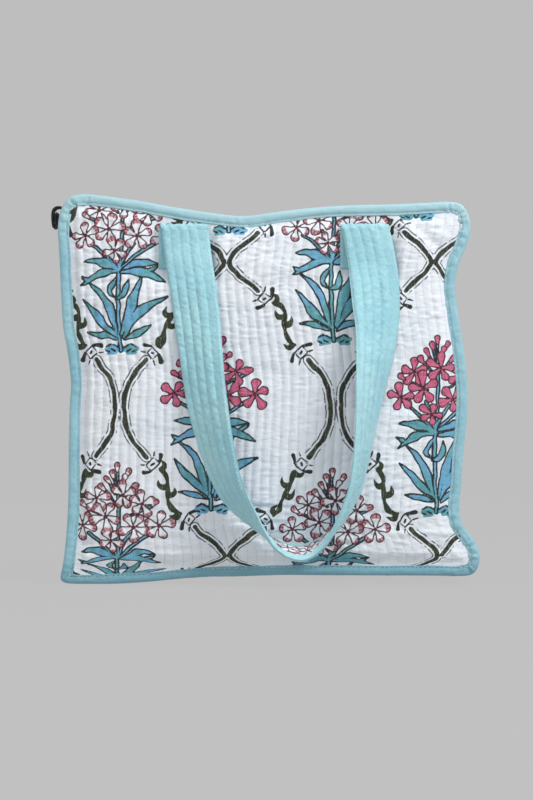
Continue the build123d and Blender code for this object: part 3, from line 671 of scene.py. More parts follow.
def settle(name, rest, push, spare, frames=34, stiff=18, seed=3):
    """Lets a pinned grid of cloth, points in mm, take up a spare share of its length under a push. Returns the moved points."""
    n, m = rest.shape[:2]
    p = rest.copy()
    nz = np.random.default_rng(seed).uniform(-1, 1, (n, m, 1)) * 0.35
    p += nz * unit(np.array(push, float))
    me = bpy.data.meshes.new(name)
    i, j = np.meshgrid(np.arange(n - 1), np.arange(m - 1), indexing="ij")
    faces = np.stack([i * m + j, (i + 1) * m + j, (i + 1) * m + j + 1, i * m + j + 1], -1).reshape(-1, 4)
    me.from_pydata((p.reshape(-1, 3) * 0.01).tolist(), [], faces.tolist())   # ten times life size, which the solver likes
    o = bpy.data.objects.new(name, me)
    bpy.context.scene.collection.objects.link(o)
    pins = o.vertex_groups.new(name="pin")
    edge = [a * m + b for a in range(n) for b in range(m) if a in (0, n - 1) or b in (0, m - 1)]
    pins.add(edge, 1.0, "REPLACE")
    mod = o.modifiers.new("cloth", "CLOTH")
    s = mod.settings
    s.quality = 6
    s.mass = 0.25
    s.tension_stiffness = s.compression_stiffness = stiff
    s.shear_stiffness = stiff * 0.5
    s.bending_stiffness = 0.6
    s.air_damping = 4
    s.vertex_group_mass = "pin"
    s.shrink_min = s.shrink_max = -spare
    mod.collision_settings.use_collision = False
    sc = bpy.context.scene
    keep = tuple(sc.gravity)
    sc.gravity = push
    for f in range(1, frames + 1):
        sc.frame_set(f)
    e = o.evaluated_get(bpy.context.evaluated_depsgraph_get())
    got = np.zeros(n * m * 3, np.float32)
    e.to_mesh().vertices.foreach_get("co", got)
    e.to_mesh_clear()
    sc.gravity = keep
    sc.frame_set(1)
    bpy.data.objects.remove(o, do_unlink=True)
    bpy.data.meshes.remove(me)
    return got.reshape(n, m, 3).astype(float) * 100.0


def face_relief(n, m):
    """How far a face's cloth stands out from flat, in mm, on n by m points, and how far it slides in the plane."""
    u, v = np.linspace(0, 1, n)[:, None], np.linspace(0, 1, m)[None, :]
    body = np.clip(16 * u * (1 - u) * v * (1 - v), 0, 1) ** 0.55
    belly = 8.0 * body * (0.85 + 0.3 * sstep(0.75, 0.2, v))
    nu, nv = 74, 68
    flat = face_points(np.linspace(0.02, 0.98, nu), np.linspace(0.02, 0.98, nv))
    rest = np.stack([flat[..., 0], np.zeros((nu, nv)), flat[..., 1]], -1)
    got = settle("face_cloth_sim", rest, (0.0, -9.0, -3.5), 0.018)
    d = got - rest
    out = bicubic(-d[..., 1], n, m)
    out = 11.0 * np.tanh(out / 11.0)
    slip = bicubic(np.clip(d[..., [0, 2]], -3, 3), n, m) * 0.5
    return 0.35 * belly + 0.75 * out, slip


FU, FV = int(404 / CELL), int(378 / CELL)
u_line, v_line = np.linspace(0.012, 0.988, FU), np.linspace(0.013, 0.987, FV)
FACE = face_points(u_line, v_line)
BELLY, SLIP = face_relief(FU, FV)
CHANNELS = 45


def quilted(uu, X, Z, seed, lower=True):
    """Height of quilting over the cloth's own surface in mm, and the channel coordinate. uu is the share across."""
    q = uu * CHANNELS + noise(Z / 45, uu * 9, seed) * 0.10 + noise(Z / 12, uu * CHANNELS, seed + 1) * 0.05
    f = q - np.floor(q)
    puff = np.sin(np.pi * f) ** 0.62
    valley = 1 - puff
    bend = noise(X / 19, Z / 16, seed + 7) * 5.0
    ripple = (0.5 - np.abs(noise(X / 13, (Z + bend) / 4.4, seed + 2))) * 0.85 + noise(X / 7.0, (Z + bend) / 2.6, seed + 3) * 0.26
    pucker = ripple * (0.55 + 0.65 * valley) * (0.75 + 0.5 * noise(X / 60, Z / 60, seed + 8))
    soft = noise(X / 34, Z / 15, seed + 4) * 0.75 + noise(X / 70, Z / 44, seed + 5) * 0.9
    low = sstep(84, 74, Z) if lower else 0 * Z
    wrinkle = noise(X / 46, Z / 5.2, seed + 6) * 0.85
    calm = sstep(60, 150, X) * 0.5 if lower else 0 * X
    h = (1.75 - 0.9 * low) * puff * (1 - calm) + pucker * (1.9 + 0.5 * calm) + soft * 0.8 + wrinkle * 1.5 * low
    return h, q


def face_cloth(name, side, mat, cad):
    """The printed cloth of a face. side -1 is the front, +1 the back."""
    X, Z = FACE[..., 0], FACE[..., 1]
    uu = np.broadcast_to(u_line[:, None], X.shape)
    w = np.minimum(np.minimum(uu, 1 - uu) * 404, np.minimum(v_line[None], 1 - v_line[None]) * 380)
    edge = sstep(9, 24, w)
    h, q = quilted(uu, X, Z, 11 if side < 0 else 61)
    sewn = np.maximum(sstep(40, 25, np.abs(X + 84)), sstep(40, 25, np.abs(X - 98))) * sstep(296, 314, Z)
    rise = edge * (BELLY * (1 - 0.95 * sewn) + h * (1 - 0.6 * sewn)) + (1 - edge) * 0.3
    # the slip pocket's seam and the turn under of the lower edge
    if side < 0:
        seam = np.exp(-((Z - 79.5 - noise(X / 20, 0, 5) * 0.8) / 1.5) ** 2) * sstep(-104, -100, X) * sstep(40, 36, X)
        seam = np.maximum(seam, 0.6 * (np.exp(-((X + 101) / 1.5) ** 2) + np.exp(-((X - 36) / 1.5) ** 2)) * sstep(76, 82, Z) * sstep(236, 228, Z))
        rise = rise - 1.1 * seam * edge
    tuck = sstep(20, 0, Z - 14) * edge
    rise = rise * (1 - 0.55 * tuck)
    P = np.stack([X + SLIP[..., 0] * edge, side * (59.2 + rise), Z + SLIP[..., 1] * edge], -1)
    if side < 0:
        Zp = np.where(Z < 34, 34 - (34 - Z) * (1 + 0.05 * (34 - Z)), Z)
        fields = block_print(X, Zp, FRONT_PLANTS, FRONT_MEETS, 1)
    else:
        fields = block_print(-X + 38, Z - 96, None, None, 2)
    fields["quilt"] = np.stack([q, Z, edge], -1)
    if side > 0:
        P, fields = P[::-1], {k: v[::-1] for k, v in fields.items()}
    o = grid(name, P, fields=fields, mat=mat, cad=cad)
    return o


# ------------------------------------------------------------------------------------------------ the bindings

def binding(name, side, cad):
    n = RING_N
    s_mm = np.arange(n) * RING_STEP
    turn = np.abs(np.cross(np.roll(unit(INWARD), -6, 0), np.roll(unit(INWARD), 6, 0)))
    turn = smooth_rows(np.clip(turn[:, None] * 2.2, 0, 1), 10)[:, 0]
    # (distance in from the rim, stand-off from the middle of the seam)
    prof = np.array([(13.0, 1.5), (12.7, 2.4), (12.0, 2.8), (11.2, 2.6), (10.5, 2.0), (9.9, 2.15), (9.0, 2.95), (7.4, 3.5), (5.4, 3.6), (3.4, 3.4), (1.7, 2.75), (0.6, 1.75), (0.05, 0.7)])
    prof = curve(prof, 20)
    prof = np.concatenate([prof, prof[::-1] * [1, -1]])
    k = len(prof)
    W, T = prof[:, 0], prof[:, 1]
    foot = sstep(13, 9.5, RING[:, 1]) * sstep(203, 188, np.abs(RING[:, 0]))
    wide = 0.89 - 0.13 * foot + noise(s_mm / 38, 0.0, 31) * 0.05 + noise(s_mm / 11, 0.0, 32) * 0.025
    seam = np.exp(-((W - 10.4) / 2.6) ** 2)
    body = np.exp(-((W - 5.0) / 4.0) ** 2)
    S2, J2 = s_mm[:, None], np.arange(k)[None] / 6.0
    gather = noise(S2 / 3.4, J2 * 0.6, 33) * (0.42 + 2.4 * turn[:, None]) * (0.60 * seam + 0.55 * body)[None]
    gather += noise(S2 / 8.0, J2, 34) * 0.28 * body[None] + noise(S2 / 26.0, J2 * 0.6, 35) * 0.35 * body[None]
    inset = W[None] * wide[:, None]
    off = T[None] + np.sign(T)[None] * gather
    P = np.empty((n, k, 3))
    P[..., 0] = RING[:, 0][:, None] + INWARD[:, 0][:, None] * inset
    P[..., 2] = RING[:, 1][:, None] + INWARD[:, 1][:, None] * inset
    P[..., 1] = side * (58.0 + off)
    P[..., 2] = np.maximum(P[..., 2], 0.05 + 0.02 * J2)
    if side > 0:
        P = P[:, ::-1]
    o = grid(name, P, wrap_i=True, mat=BLUE, cad=cad)
    cut_sheet(o)
    # the sewing along the inner edge, seen from outside and inside
    shapes = []
    total = int(n * RING_STEP / 4.2)
    idx = (np.arange(total) * n / total).astype(int)
    for face in (1, -1):
        for i in idx:
            a, inw = RING[i], INWARD[i]
            tang = unit(RING[(i + 2) % n] - RING[(i - 2) % n])
            c = np.array([a[0] + inw[0] * 10.35 * wide[i], side * (58.0 + face * 2.35), a[1] + inw[1] * 10.35 * wide[i]])
            shapes.append(stitch(c, np.array([tang[0], 0, tang[1]]), np.array([unit(inw)[0], 0, unit(inw)[1]]), np.array([0, side * face, 0.0]), 2.9, 0.55, 0.42))
    many(name + "_thread", shapes, THREAD)
    return o


face_cloth("front_cloth", -1, PRINT, ("front_printed_cloth", "front_wadding"))
face_cloth("back_cloth", 1, PRINT, ("back_printed_cloth", "back_wadding"))
binding("front_bound_edge", -1, ("front_binding",))
binding("back_bound_edge", 1, ("back_binding",))

# ------------------------------------------------------------------------------------------------ gussets and base

def band_path(inset, floor):
    """The path of the gussets and base from the left top, down, across and up to the right top. floor sets how low the base lies."""
    start = nearest_index(-207.8, 366)
    stop = nearest_index(204.5, 364)
    idx = [(start - k) % RING_N for k in range((start - stop) % RING_N + 1)]
    p = RING[idx] + INWARD[idx] * inset
    rim = RING[idx]
    zb = np.interp(p[:, 0], np.sort(rim[:, 0][rim[:, 1] < 20]), rim[:, 1][rim[:, 1] < 20][np.argsort(rim[:, 0][rim[:, 1] < 20])]) + inset
    low = p[:, 1] < 30
    lie = np.maximum(floor, zb - inset - 3.6 + floor - 0.3)
    z = np.where(low, lie + np.maximum(p[:, 1] - zb, 0) * (30 - lie) / np.maximum(30 - zb, 1), p[:, 1])
    return p, np.stack([p[:, 0], z], 1)


def band(name, lo, hi, inset, floor, depth, mat, seed, cad, relief=1.0, flip=False, printed_cloth=True, step=1.7):
    """A piece of the band between the faces, for the share lo to hi of its path."""
    seam, mid = band_path(inset, floor)
    along = np.concatenate([[0], np.cumsum(np.linalg.norm(np.diff(mid, axis=0), axis=1))])
    n = int(along[-1] * (hi - lo) / (step * 1))
    want = np.linspace(lo, hi, n) * along[-1]
    seam = np.stack([np.interp(want, along, seam[:, c]) for c in range(2)], 1)
    mid = smooth_rows(np.stack([np.interp(want, along, mid[:, c]) for c in range(2)], 1), 4, closed=False)
    m = int(2 * depth / (step * 1))
    t = np.linspace(-1, 1, m)
    f = sstep(0.77, 1.0, np.abs(t))[None, :, None]
    P2 = mid[:, None] * (1 - f) + seam[:, None] * f
    d = unit(np.gradient(mid, axis=0))
    out = np.stack([d[:, 1], -d[:, 0]], 1)          # away from the bag's middle
    out = np.where(((mid - [0, 150]) * out).sum(1, keepdims=True) < 0, -out, out)
    Y = depth * t
    SS, YY = want[:, None] + 0 * Y[None], Y[None] + 0 * want[:, None]
    ch = 2 * depth / 9.2
    uu = (YY / (2 * depth) + 0.5) * ch
    q = uu + noise(SS / 40, YY / 9, seed) * 0.12
    puff = np.sin(np.pi * (q - np.floor(q))) ** 0.62
    h = 1.25 * puff + noise(YY / 10, SS / 3.4, seed + 1) * 0.45 * (0.5 + 0.7 * (1 - puff)) + noise(YY / 30, SS / 15, seed + 2) * 0.6
    edge = sstep(1.0, 0.88, np.abs(t))[None]
    upright = sstep(18, 60, mid[:, 1])[:, None]
    P2[..., 1] += ((1 - f[..., 0]) * 3.4 * (t[None] / 0.77) ** 2) * (1 - upright)
    sag = upright * np.cos(t * np.pi / 2)[None] * (noise(SS / 90, YY / 60, seed + 3) * 2.2 - 4.5 * sstep(150, 330, mid[:, 1])[:, None] + 1.0)
    rise = (h * edge * relief * (0.22 + 0.78 * upright)) + sag
    P = np.empty((n, m, 3))
    P[..., 0] = P2[..., 0] + out[:, 0][:, None] * rise
    P[..., 2] = np.maximum(P2[..., 1] + out[:, 1][:, None] * rise, floor - 0.2)
    P[..., 1] = Y[None]
    fields = {"quilt": np.stack([q, SS, edge + 0 * SS], -1)}
    if printed_cloth:
        fields.update(block_print(YY + 53, 900 - SS, None, None, seed))
    if flip:
        P, fields = P[:, ::-1], {k: v[:, ::-1] for k, v in fields.items()}
    return grid(name, P, fields=fields, mat=mat, cad=cad)


C1, C2 = 0.329, 0.680       # where the base meets the left and the right gusset
for name, lo, hi, cad in (
    ("left_gusset_cloth", 0.0, C1, ("left_gusset_printed_cloth", "left_gusset_wadding")),
    ("base_cloth", C1, C2, ("base_printed_cloth", "base_wadding")),
    ("right_gusset_cloth", C2, 1.0, ("right_gusset_printed_cloth", "right_gusset_wadding")),
):
    o = band(name, lo, hi, 10.0, 0.3, 55.6, PRINT, 21 + int(lo * 10), cad)
for name, lo, hi, cad in (
    ("left_gusset_inside", 0.0, C1, ("left_gusset_lining",)),
    ("base_inside", C1, C2, ("base_lining",)),
    ("right_gusset_inside", C2, 1.0, ("right_gusset_lining",)),
):
    o = band(name, lo, hi, 14.4, 4.4, 55.0, LINING, 41 + int(lo * 10), cad, relief=-0.6, flip=True, printed_cloth=False, step=3.0)

# ------------------------------------------------------------------------------------------------ lining of the two faces

def face_lining(name, side, cad):
    n, m = int(390 / 3), int(372 / 3)
    u, v = np.linspace(0.03, 0.97, n), np.linspace(0.028, 0.972, m)
    P2 = face_points(u, v)
    X, Z = P2[..., 0], P2[..., 1]
    uu = np.broadcast_to(u[:, None], X.shape)
    h, q = quilted(uu, X, Z, 71 if side < 0 else 81, lower=False)
    P = np.stack([X, side * (55.9 - 0.45 * np.clip(h, -0.5, 2.2)), Z], -1)
    if side < 0:
        P = P[::-1]
    o = grid(name, P, mat=LINING, cad=cad)
    return o


face_lining("front_inside", -1, ("front_lining",))
face_lining("back_inside", 1, ("back_lining",))

# ------------------------------------------------------------------------------------------------ the two straps

STRAP_PATH = [
    (-80.5, 354.0, 67.0, 0.0), (-79.0, 338.0, 68.0, 1.0), (-76.5, 320.0, 70.5, 3.0), (-70.0, 276.0, 76.0, 12.0),
    (-64.5, 230.0, 83.0, 22.0), (-58.0, 182.0, 88.5, 31.0), (-47.5, 134.0, 91.5, 42.0), (-37.5, 102.0, 94.0, 52.0),
    (-29.0, 84.0, 95.5, 60.0), (-18.5, 68.0, 96.5, 70.0), (-6.0, 52.0, 97.0, 82.0), (9.0, 38.0, 97.5, 95.0),
    (24.0, 30.5, 98.0, 102.0), (38.0, 29.5, 98.0, 104.0), (52.0, 37.0, 97.5, 98.0), (64.0, 49.0, 97.0, 89.0),
    (74.0, 62.0, 97.0, 82.0), (82.0, 78.0, 96.5, 77.0), (89.0, 98.0, 96.0, 73.0), (94.0, 126.0, 95.5, 69.0),
    (98.0, 158.0, 94.5, 63.0), (102.5, 190.0, 92.0, 53.0), (107.0, 222.0, 87.5, 40.0), (110.0, 252.0, 81.5, 26.0),
    (109.5, 282.0, 76.0, 14.0), (107.0, 314.0, 70.5, 4.0), (103.0, 338.0, 68.0, 1.0), (99.5, 354.0, 67.0, 0.0),
]


def strap_frame(side, count):
    """Middle points and the across and outward directions along the loop."""
    q = curve([(a, side * c, b + 4.5 * float(sstep(170, 60, b)), d) for a, b, c, d in STRAP_PATH], count)
    c, th = q[:, :3], np.radians(q[:, 3])[:, None]
    t = unit(np.gradient(c, axis=0))
    t[0], t[-1] = (0, 0, -1), (0, 0, 1)
    flat = unit(np.stack([t[:, 0], 0 * t[:, 0], t[:, 2]], 1))
    inner = np.stack([-flat[:, 2], 0 * flat[:, 0], flat[:, 0]], 1)
    inner = unit(inner - t * (inner * t).sum(1, keepdims=True))
    out = np.array([0, side, 0]) - t * (t[:, 1:2] * side)
    out = unit(out - inner * (out * inner).sum(1, keepdims=True))
    return c, t, inner * np.cos(th) + out * np.sin(th), out * np.cos(th) - inner * np.sin(th), th[:, 0]


def strap(name, side, body, cad):
    n = 470
    m = 64
    C, T, A, N, th = strap_frame(side, n)
    length = np.concatenate([[0], np.cumsum(np.linalg.norm(np.diff(C, axis=0), axis=1))])
    share = length / length[-1]
    S = length[:, None]
    # the plain turned-under hem lies on the inner edge of the first leg and on the outer edge of the second
    flip = sstep(0.36, 0.62, share)[:, None]
    a = np.linspace(-1, 1, m)[None]                     # across, +1 toward the inside of the loop
    hw = (23.6 + noise(S / 40, 0.0, 91) * 0.7 + noise(S / 13, 0.0, 92) * 0.3)
    X = a * hw                                          # mm across
    # four channels and a hem: stitch lines measured from the hem's edge
    def face_height(e, seed):
        """Height over the middle plane at distance e from the hem's edge."""
        ch = (e - 10.3) / 9.25
        k = np.floor(ch)
        f = ch - k
        puff = np.where(e > 10.3, np.sin(np.pi * np.clip(f, 0, 1)) ** 0.58, 0)
        flat = np.where(e <= 10.3, 0.45 * np.sin(np.pi * np.clip(e / 10.3, 0, 1)) ** 0.45, 0)
        skew = (f - 0.5) * 5.0
        rip = (0.5 - np.abs(noise(e / 11.0 + seed, (S + skew) / 4.4, 93))) * 1.15 + noise(e / 6.0 + seed, (S - skew) / 2.6, 94) * 0.35
        valley = np.exp(-(np.minimum(f, 1 - f) * 9.25 / 1.7) ** 2)
        rip2 = noise(e / 4 + seed, S / 2.6, 95) * valley * 0.55
        return 1.35 + 1.75 * puff + flat + rip * (0.35 + 0.5 * puff) + rip2 + noise(e / 30 + seed, S / 26, 96) * 0.5
    e1, e2 = hw - X, hw + X                             # hem at +1 (inner edge) or at -1
    h = face_height(e1, 0.0) * (1 - flip) + face_height(e2, 40.0) * flip
    near_end = np.minimum(S, length[-1] - S)
    h = h * (1 - 0.42 * sstep(62, 38, near_end))         # pressed thinner where it comes over the bound edge when lifted
    rim = sstep(1.0, 0.90, np.abs(a))
    top = h * (0.30 + 0.70 * rim) * np.sqrt(np.clip(1 - (np.clip(np.abs(a) - 0.93, 0, 1) / 0.07) ** 2, 0.0, 1))
    # a soft curl across, and lazy twist along
    curl = (1 - a ** 2) * (0.9 + noise(S / 60, 0.0, 97) * 1.2) * (np.sin(np.pi * np.clip(share, 0, 1))[:, None] ** 2)
    low = noise(S / 3.4, a * 3.2, 98) * 0.35 + 1.25 + 0.35 * np.abs(np.sin(a * math.pi * 2.5))
    under = -low * np.sqrt(np.clip(1 - (np.clip(np.abs(a) - 0.93, 0, 1) / 0.07) ** 2, 0.0, 1)) * (0.5 + 0.5 * rim)
    wobble = (noise(S / 52, 3.0, 99) * 1.4) * np.sin(np.pi * share)[:, None] ** 2
    P_top = C[:, None] + A[:, None] * X[..., None] + N[:, None] * (top + curl + wobble)[..., None]
    P_low = C[:, None] + A[:, None] * X[..., None] + N[:, None] * (under + curl + wobble)[..., None]
    q1 = np.where(e1 > 10.3, (e1 - 10.3) / 9.25, 0.5) * (1 - flip) + np.where(e2 > 10.3, (e2 - 10.3) / 9.25, 0.5) * flip
    # the face: wraps round each edge as a thin blue roll
    edge_in = C[:, None] + A[:, None] * (hw + 0.45)[..., None] + N[:, None] * (curl[:, -1:] + wobble + 0.15)[..., None]
    edge_out = C[:, None] - A[:, None] * (hw + 0.45)[..., None] + N[:, None] * (curl[:, :1] + wobble + 0.15)[..., None]
    wrap = 13                            # columns of the underside covered by the blue hem
    blue = np.concatenate([P_low[:, :wrap][:, ::-1] - N[:, None] * 0.35, edge_out, P_top, edge_in, P_low[:, -wrap:][:, ::-1] - N[:, None] * 0.35], 1)
    qq = np.concatenate([np.full((n, wrap + 1), 0.5), q1, np.full((n, wrap + 1), 0.5)], 1)
    fields = {"quilt": np.stack([qq, np.broadcast_to(S, qq.shape), np.full(qq.shape, 1.0)], -1)}
    if side > 0:
        blue, fields = blue[:, ::-1], {k: v[:, ::-1] for k, v in fields.items()}
    o = grid(name + "_face", blue, fields=fields, mat=STRAP_Q, body=body, cad=(cad + "_face_cloth", cad + "_wadding"))
    w2 = wrap - 1
    inner = P_low[:, w2:-w2]
    Sx = np.broadcast_to(S, inner.shape[:2])
    fields = block_print(np.broadcast_to(X[:, w2:-w2], Sx.shape) + 20, Sx * 1.0 + 60, None, None, 5)
    fields["quilt"] = np.stack([np.broadcast_to(a[:, w2:-w2] * 2.5, Sx.shape), Sx, np.ones(Sx.shape)], -1)
    if side < 0:
        inner, fields = inner[:, ::-1], {k: v[:, ::-1] for k, v in fields.items()}
    o2 = grid(name + "_underside", inner, fields=fields, mat=PRINT, body=body, cad=(cad + "_underside_cloth",))
    return C, A, N, hw, P_top, P_low


def quilt_plain(name, base, light, dark):
    m = Mat(name)
    q, along, env = m.at("quilt")
    slow, mid, fibre = m.noise(22, 2.0), m.noise(240, 3.0, 0.6), m.noise(1500, 2.0, 0.6)
    col = m.mix(slow.ramp(0.32, 0.68), base, light)
    col = m.mix(mid.ramp(0.45, 0.72, 0.0, 0.40), col, dark)
    col = m.mix(fibre.ramp(0.40, 0.75, 0.0, 0.28), col, light)
    near = (q.fract() - 0.5).abs().ramp(0.455, 0.49)
    dash = ((along * (TAU / 4.2)).sin()).ramp(-0.25, 0.15)
    # painted shade: darker blue in the stitch valleys between the thread's dashes, the thread itself in the light
    # colour
    col = m.mix(near * (dash * -1 + 1) * 0.30, col, tuple(c * 0.62 for c in dark))
    col = m.mix(near * dash * 0.55, col, light)
    crinkle = m.noise(1.0, 3.0, 0.55, stretch=(130, 130, 330)) * (near * 0.4 + 0.6)
    m.bump(m.weave(1250) * 0.00008 + fibre * 0.0002 + mid * 0.0002 + near * dash * 0.0004 + crinkle * 0.0020, 0.62, 1.0)
    return m.end(col, rough=0.86, sheen=0.35, spec=0.25)


STRAP_Q = quilt_plain("cotton_strap_quilted", srgb(153, 205, 217), srgb(170, 217, 225), srgb(130, 189, 204))

for word, side in (("front", -1), ("back", 1)):
    body = word + "_handle"
    C, A, N, hw, P_top, P_low = strap(word + "_strap", side, body, word + "_handle")
    # where each end comes over the fold and is sewn flat to the face
    for leg, i, x0, cad in (("left", 0, -84.0, "left"), ("right", -1, 98.0, "right")):
        n = 44
        m = 64
        a = np.linspace(-1, 1, m)[None]
        # from the top of the hanging strap, over a tight roll, down to the sewn end behind it
        s = np.linspace(0, 1, n)[:, None]
        ang = np.pi * s                                   # 0 at the hanging strap's face, pi at the sewn end's back
        R = 3.15 + noise(s * 3, a * 3.0, 111 + i) * 0.25
        cy, cz = side * 64.6, 354.6
        y = cy + side * np.cos(ang) * (R + 0.55)
        z = cz + np.sin(ang) * (R + 2.0) * 1.05
        xs = (C[i, 0] * (1 - s) + x0 * s)
        X = xs + a * 23.8 * (1 if i == 0 else -1)
        rise = np.abs(np.sin(np.pi * 2.6 * a)) * 0.9 * (1 - np.abs(a) ** 8)
        rip = noise(a * 6, s * 9, 115 + i) * 0.5
        y = y + side * np.cos(ang) * (rise + rip) * 0.8
        z = z + np.sin(ang) * (rise + rip)
        P = np.stack([np.broadcast_to(X, (n, m)), np.broadcast_to(y, (n, m)), np.broadcast_to(z, (n, m))], -1)
        # join with the hanging strap's own last row
        first = P_top[i]
        w = sstep(0.22, 0.0, s)[..., None]
        P = P * (1 - w) + (first[None] + np.stack([0 * s * a, 0 * s * a, np.broadcast_to(s * 6, (n, m))], -1)) * w
        fields = {"quilt": np.stack([np.broadcast_to((a * 23.6 + 23.6 - 10.3) / 9.25 if i else (23.6 - a * 23.6 - 10.3) / 9.25, (n, m)), np.broadcast_to(s * 14, (n, m)), np.ones((n, m))], -1)}
        if (side < 0) == (i == 0):
            P, fields = P[:, ::-1], {k: v[:, ::-1] for k, v in fields.items()}
        o = grid(f"{word}_{leg}_fold", P, fields=fields, mat=STRAP_Q, body=None)
        C[i, 0] * 0.001
        C[i, 0] * 0.001
        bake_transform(o)
        cut_sheet(o)
        # the sewn end: quilted, its printed side outward, crossed with a box of stitching
        n2 = 60
        d = np.linspace(0, 1, n2)[:, None]
        zz = 357.0 - d * 42.0
        X2 = x0 + a * 23.8
        t = sstep(1.0, 0.92, np.abs(a)) * sstep(1.0, 0.95, d)
        puff = np.abs(np.sin(np.pi * 2.6 * a)) ** 0.7 * 0.8 + noise(a * 6, d * 15, 121 + i) * 0.5
        y2 = side * (61.0 + t * (0.9 + puff) - 1.2 * sstep(0.97, 1.0, d) - 0.9 * sstep(0.97, 1.0, np.abs(a)))
        P = np.stack([np.broadcast_to(X2, (n2, m)), np.broadcast_to(y2, (n2, m)), np.broadcast_to(zz, (n2, m))], -1)
        fields = {"quilt": np.stack([np.broadcast_to(a * 2.6 + 0.5, (n2, m)), np.broadcast_to(d * 42, (n2, m)), np.ones((n2, m))], -1)}
        if side > 0:
            P, fields = P[:, ::-1], {k: v[:, ::-1] for k, v in fields.items()}
        hemw = int(m * 0.20)
        print_f = block_print(P[..., 0] + 30, P[..., 2] - 230, None, None, 5)
        print_f["quilt"] = fields["quilt"]
        cut = lambda f, k: {key: v[:, k] for key, v in f.items()}
        o = grid(f"{word}_{leg}_end", P[:, hemw - 1:m - hemw + 1], fields=cut(print_f, slice(hemw - 1, m - hemw + 1)), mat=PRINT, cad=(f"{word}_handle_{cad}_sewn_end",))
        cut_sheet(o)
        for part, k in (("a", slice(0, hemw)), ("b", slice(m - hemw, m))):
            o = grid(f"{word}_{leg}_end_hem_{part}", P[:, k] + [0, side * 0.25, 0], fields=cut(fields, k), mat=STRAP_Q)
            cut_sheet(o)
        shapes = []
        box = [(x0 - 18, 349), (x0 + 18, 349), (x0 + 18, 320), (x0 - 18, 320), (x0 - 18, 349)]
        for p0, p1 in list(zip(box[:-1], box[1:])) + [((x0 - 18, 349), (x0 + 18, 320)), ((x0 + 18, 349), (x0 - 18, 320))]:
            p0, p1 = np.array(p0, float), np.array(p1, float)
            L = np.hypot(*(p1 - p0))
            tv = (p1 - p0) / L
            for k in range(int(L / 3.4)):
                c = p0 + tv * (1.7 + 3.4 * k)
                shapes.append(stitch(np.array([c[0], side * 62.75, c[1]]), np.array([tv[0], 0, tv[1]]), np.array([-tv[1], 0, tv[0]]), np.array([0, side, 0.0]), 2.6, 0.5, 0.5))
        many(f"{word}_{leg}_end_stitches", shapes, THREAD)
    # the row of stitches along both edges of the hanging strap
    shapes = []
    for e in (-1, 1):
        for k in range(4, len(C) - 4, 3):
            col = int((0.5 + 0.5 * e * 0.93) * (P_top.shape[1] - 1))
            c = P_top[k, col]
            tv = unit(P_top[k + 2, col] - P_top[k - 2, col])
            shapes.append(stitch(c, tv, unit(np.cross(tv, N[k])), N[k], 2.7, 0.5, 0.30))
    many(word + "_strap_stitches", shapes, THREAD, body=body, cad=(word + "_handle_stitching",))

# ------------------------------------------------------------------------------------------------ the top: facing strips, zip and its ends

def ribbon(name, x0, x1, y0, y1, z, thick, mat, cad, seed, body="bag", puff=0.0, step=1.6, fields_print=False, flip=False, declare=True):
    """A thin doubled strip lying flat between y0 and y1, with soft rolled edges."""
    n, m = max(4, int(abs(x1 - x0) / step)), max(5, int(abs(y1 - y0) / step))
    x = np.linspace(x0, x1, n)[:, None]
    t = np.linspace(0, 1, m)[None]
    y = y0 + (y1 - y0) * t
    rim = np.sqrt(np.clip(1 - np.clip(np.abs(2 * t - 1) - 0.86, 0, 1) ** 2 / 0.14 ** 2, 0, 1))
    ch = (t * abs(y1 - y0) / 9.2)
    pf = np.sin(np.pi * (ch - np.floor(ch))) ** 0.6 * puff
    wav = noise(x / 26, y / 18, seed) * 0.45 + noise(x / 5, y / 6, seed + 1) * 0.22
    top = z + thick / 2 * rim + pf * rim + wav
    low = z - thick / 2 * rim + wav
    P_top = np.stack([np.broadcast_to(x, (n, m)), np.broadcast_to(y, (n, m)), np.broadcast_to(top, (n, m))], -1)
    P_low = np.stack([np.broadcast_to(x, (n, m)), np.broadcast_to(y, (n, m)), np.broadcast_to(low, (n, m))], -1)
    P = np.concatenate([P_top, P_low[:, ::-1]], 1)
    if y1 < y0:
        P = P[:, ::-1]
    ends = [P[k:k + 1].mean(1, keepdims=True) for k in (0, n - 1)]
    P = np.concatenate([ends[0] + (P[:1] - ends[0]) * 0.02, P, ends[1] + (P[-1:] - ends[1]) * 0.02])
    ch = np.broadcast_to(ch, (n + 2, m))
    fields = {"quilt": np.stack([np.broadcast_to(np.concatenate([ch, ch[:, ::-1]], 1), P.shape[:2]), P[..., 0], np.ones(P.shape[:2])], -1)}
    if fields_print:
        fields.update(block_print(P[..., 0] + 20, P[..., 1] * 1.0 + 130, None, None, 7))
    o = grid(name, P, wrap_j=True, fields=fields, mat=mat, body=body, cad=cad)
    if declare:
        round(abs(x1 - x0) / 1000, 4)
        round(abs(y1 - y0) * 1.04 / 1000, 4)
    return o


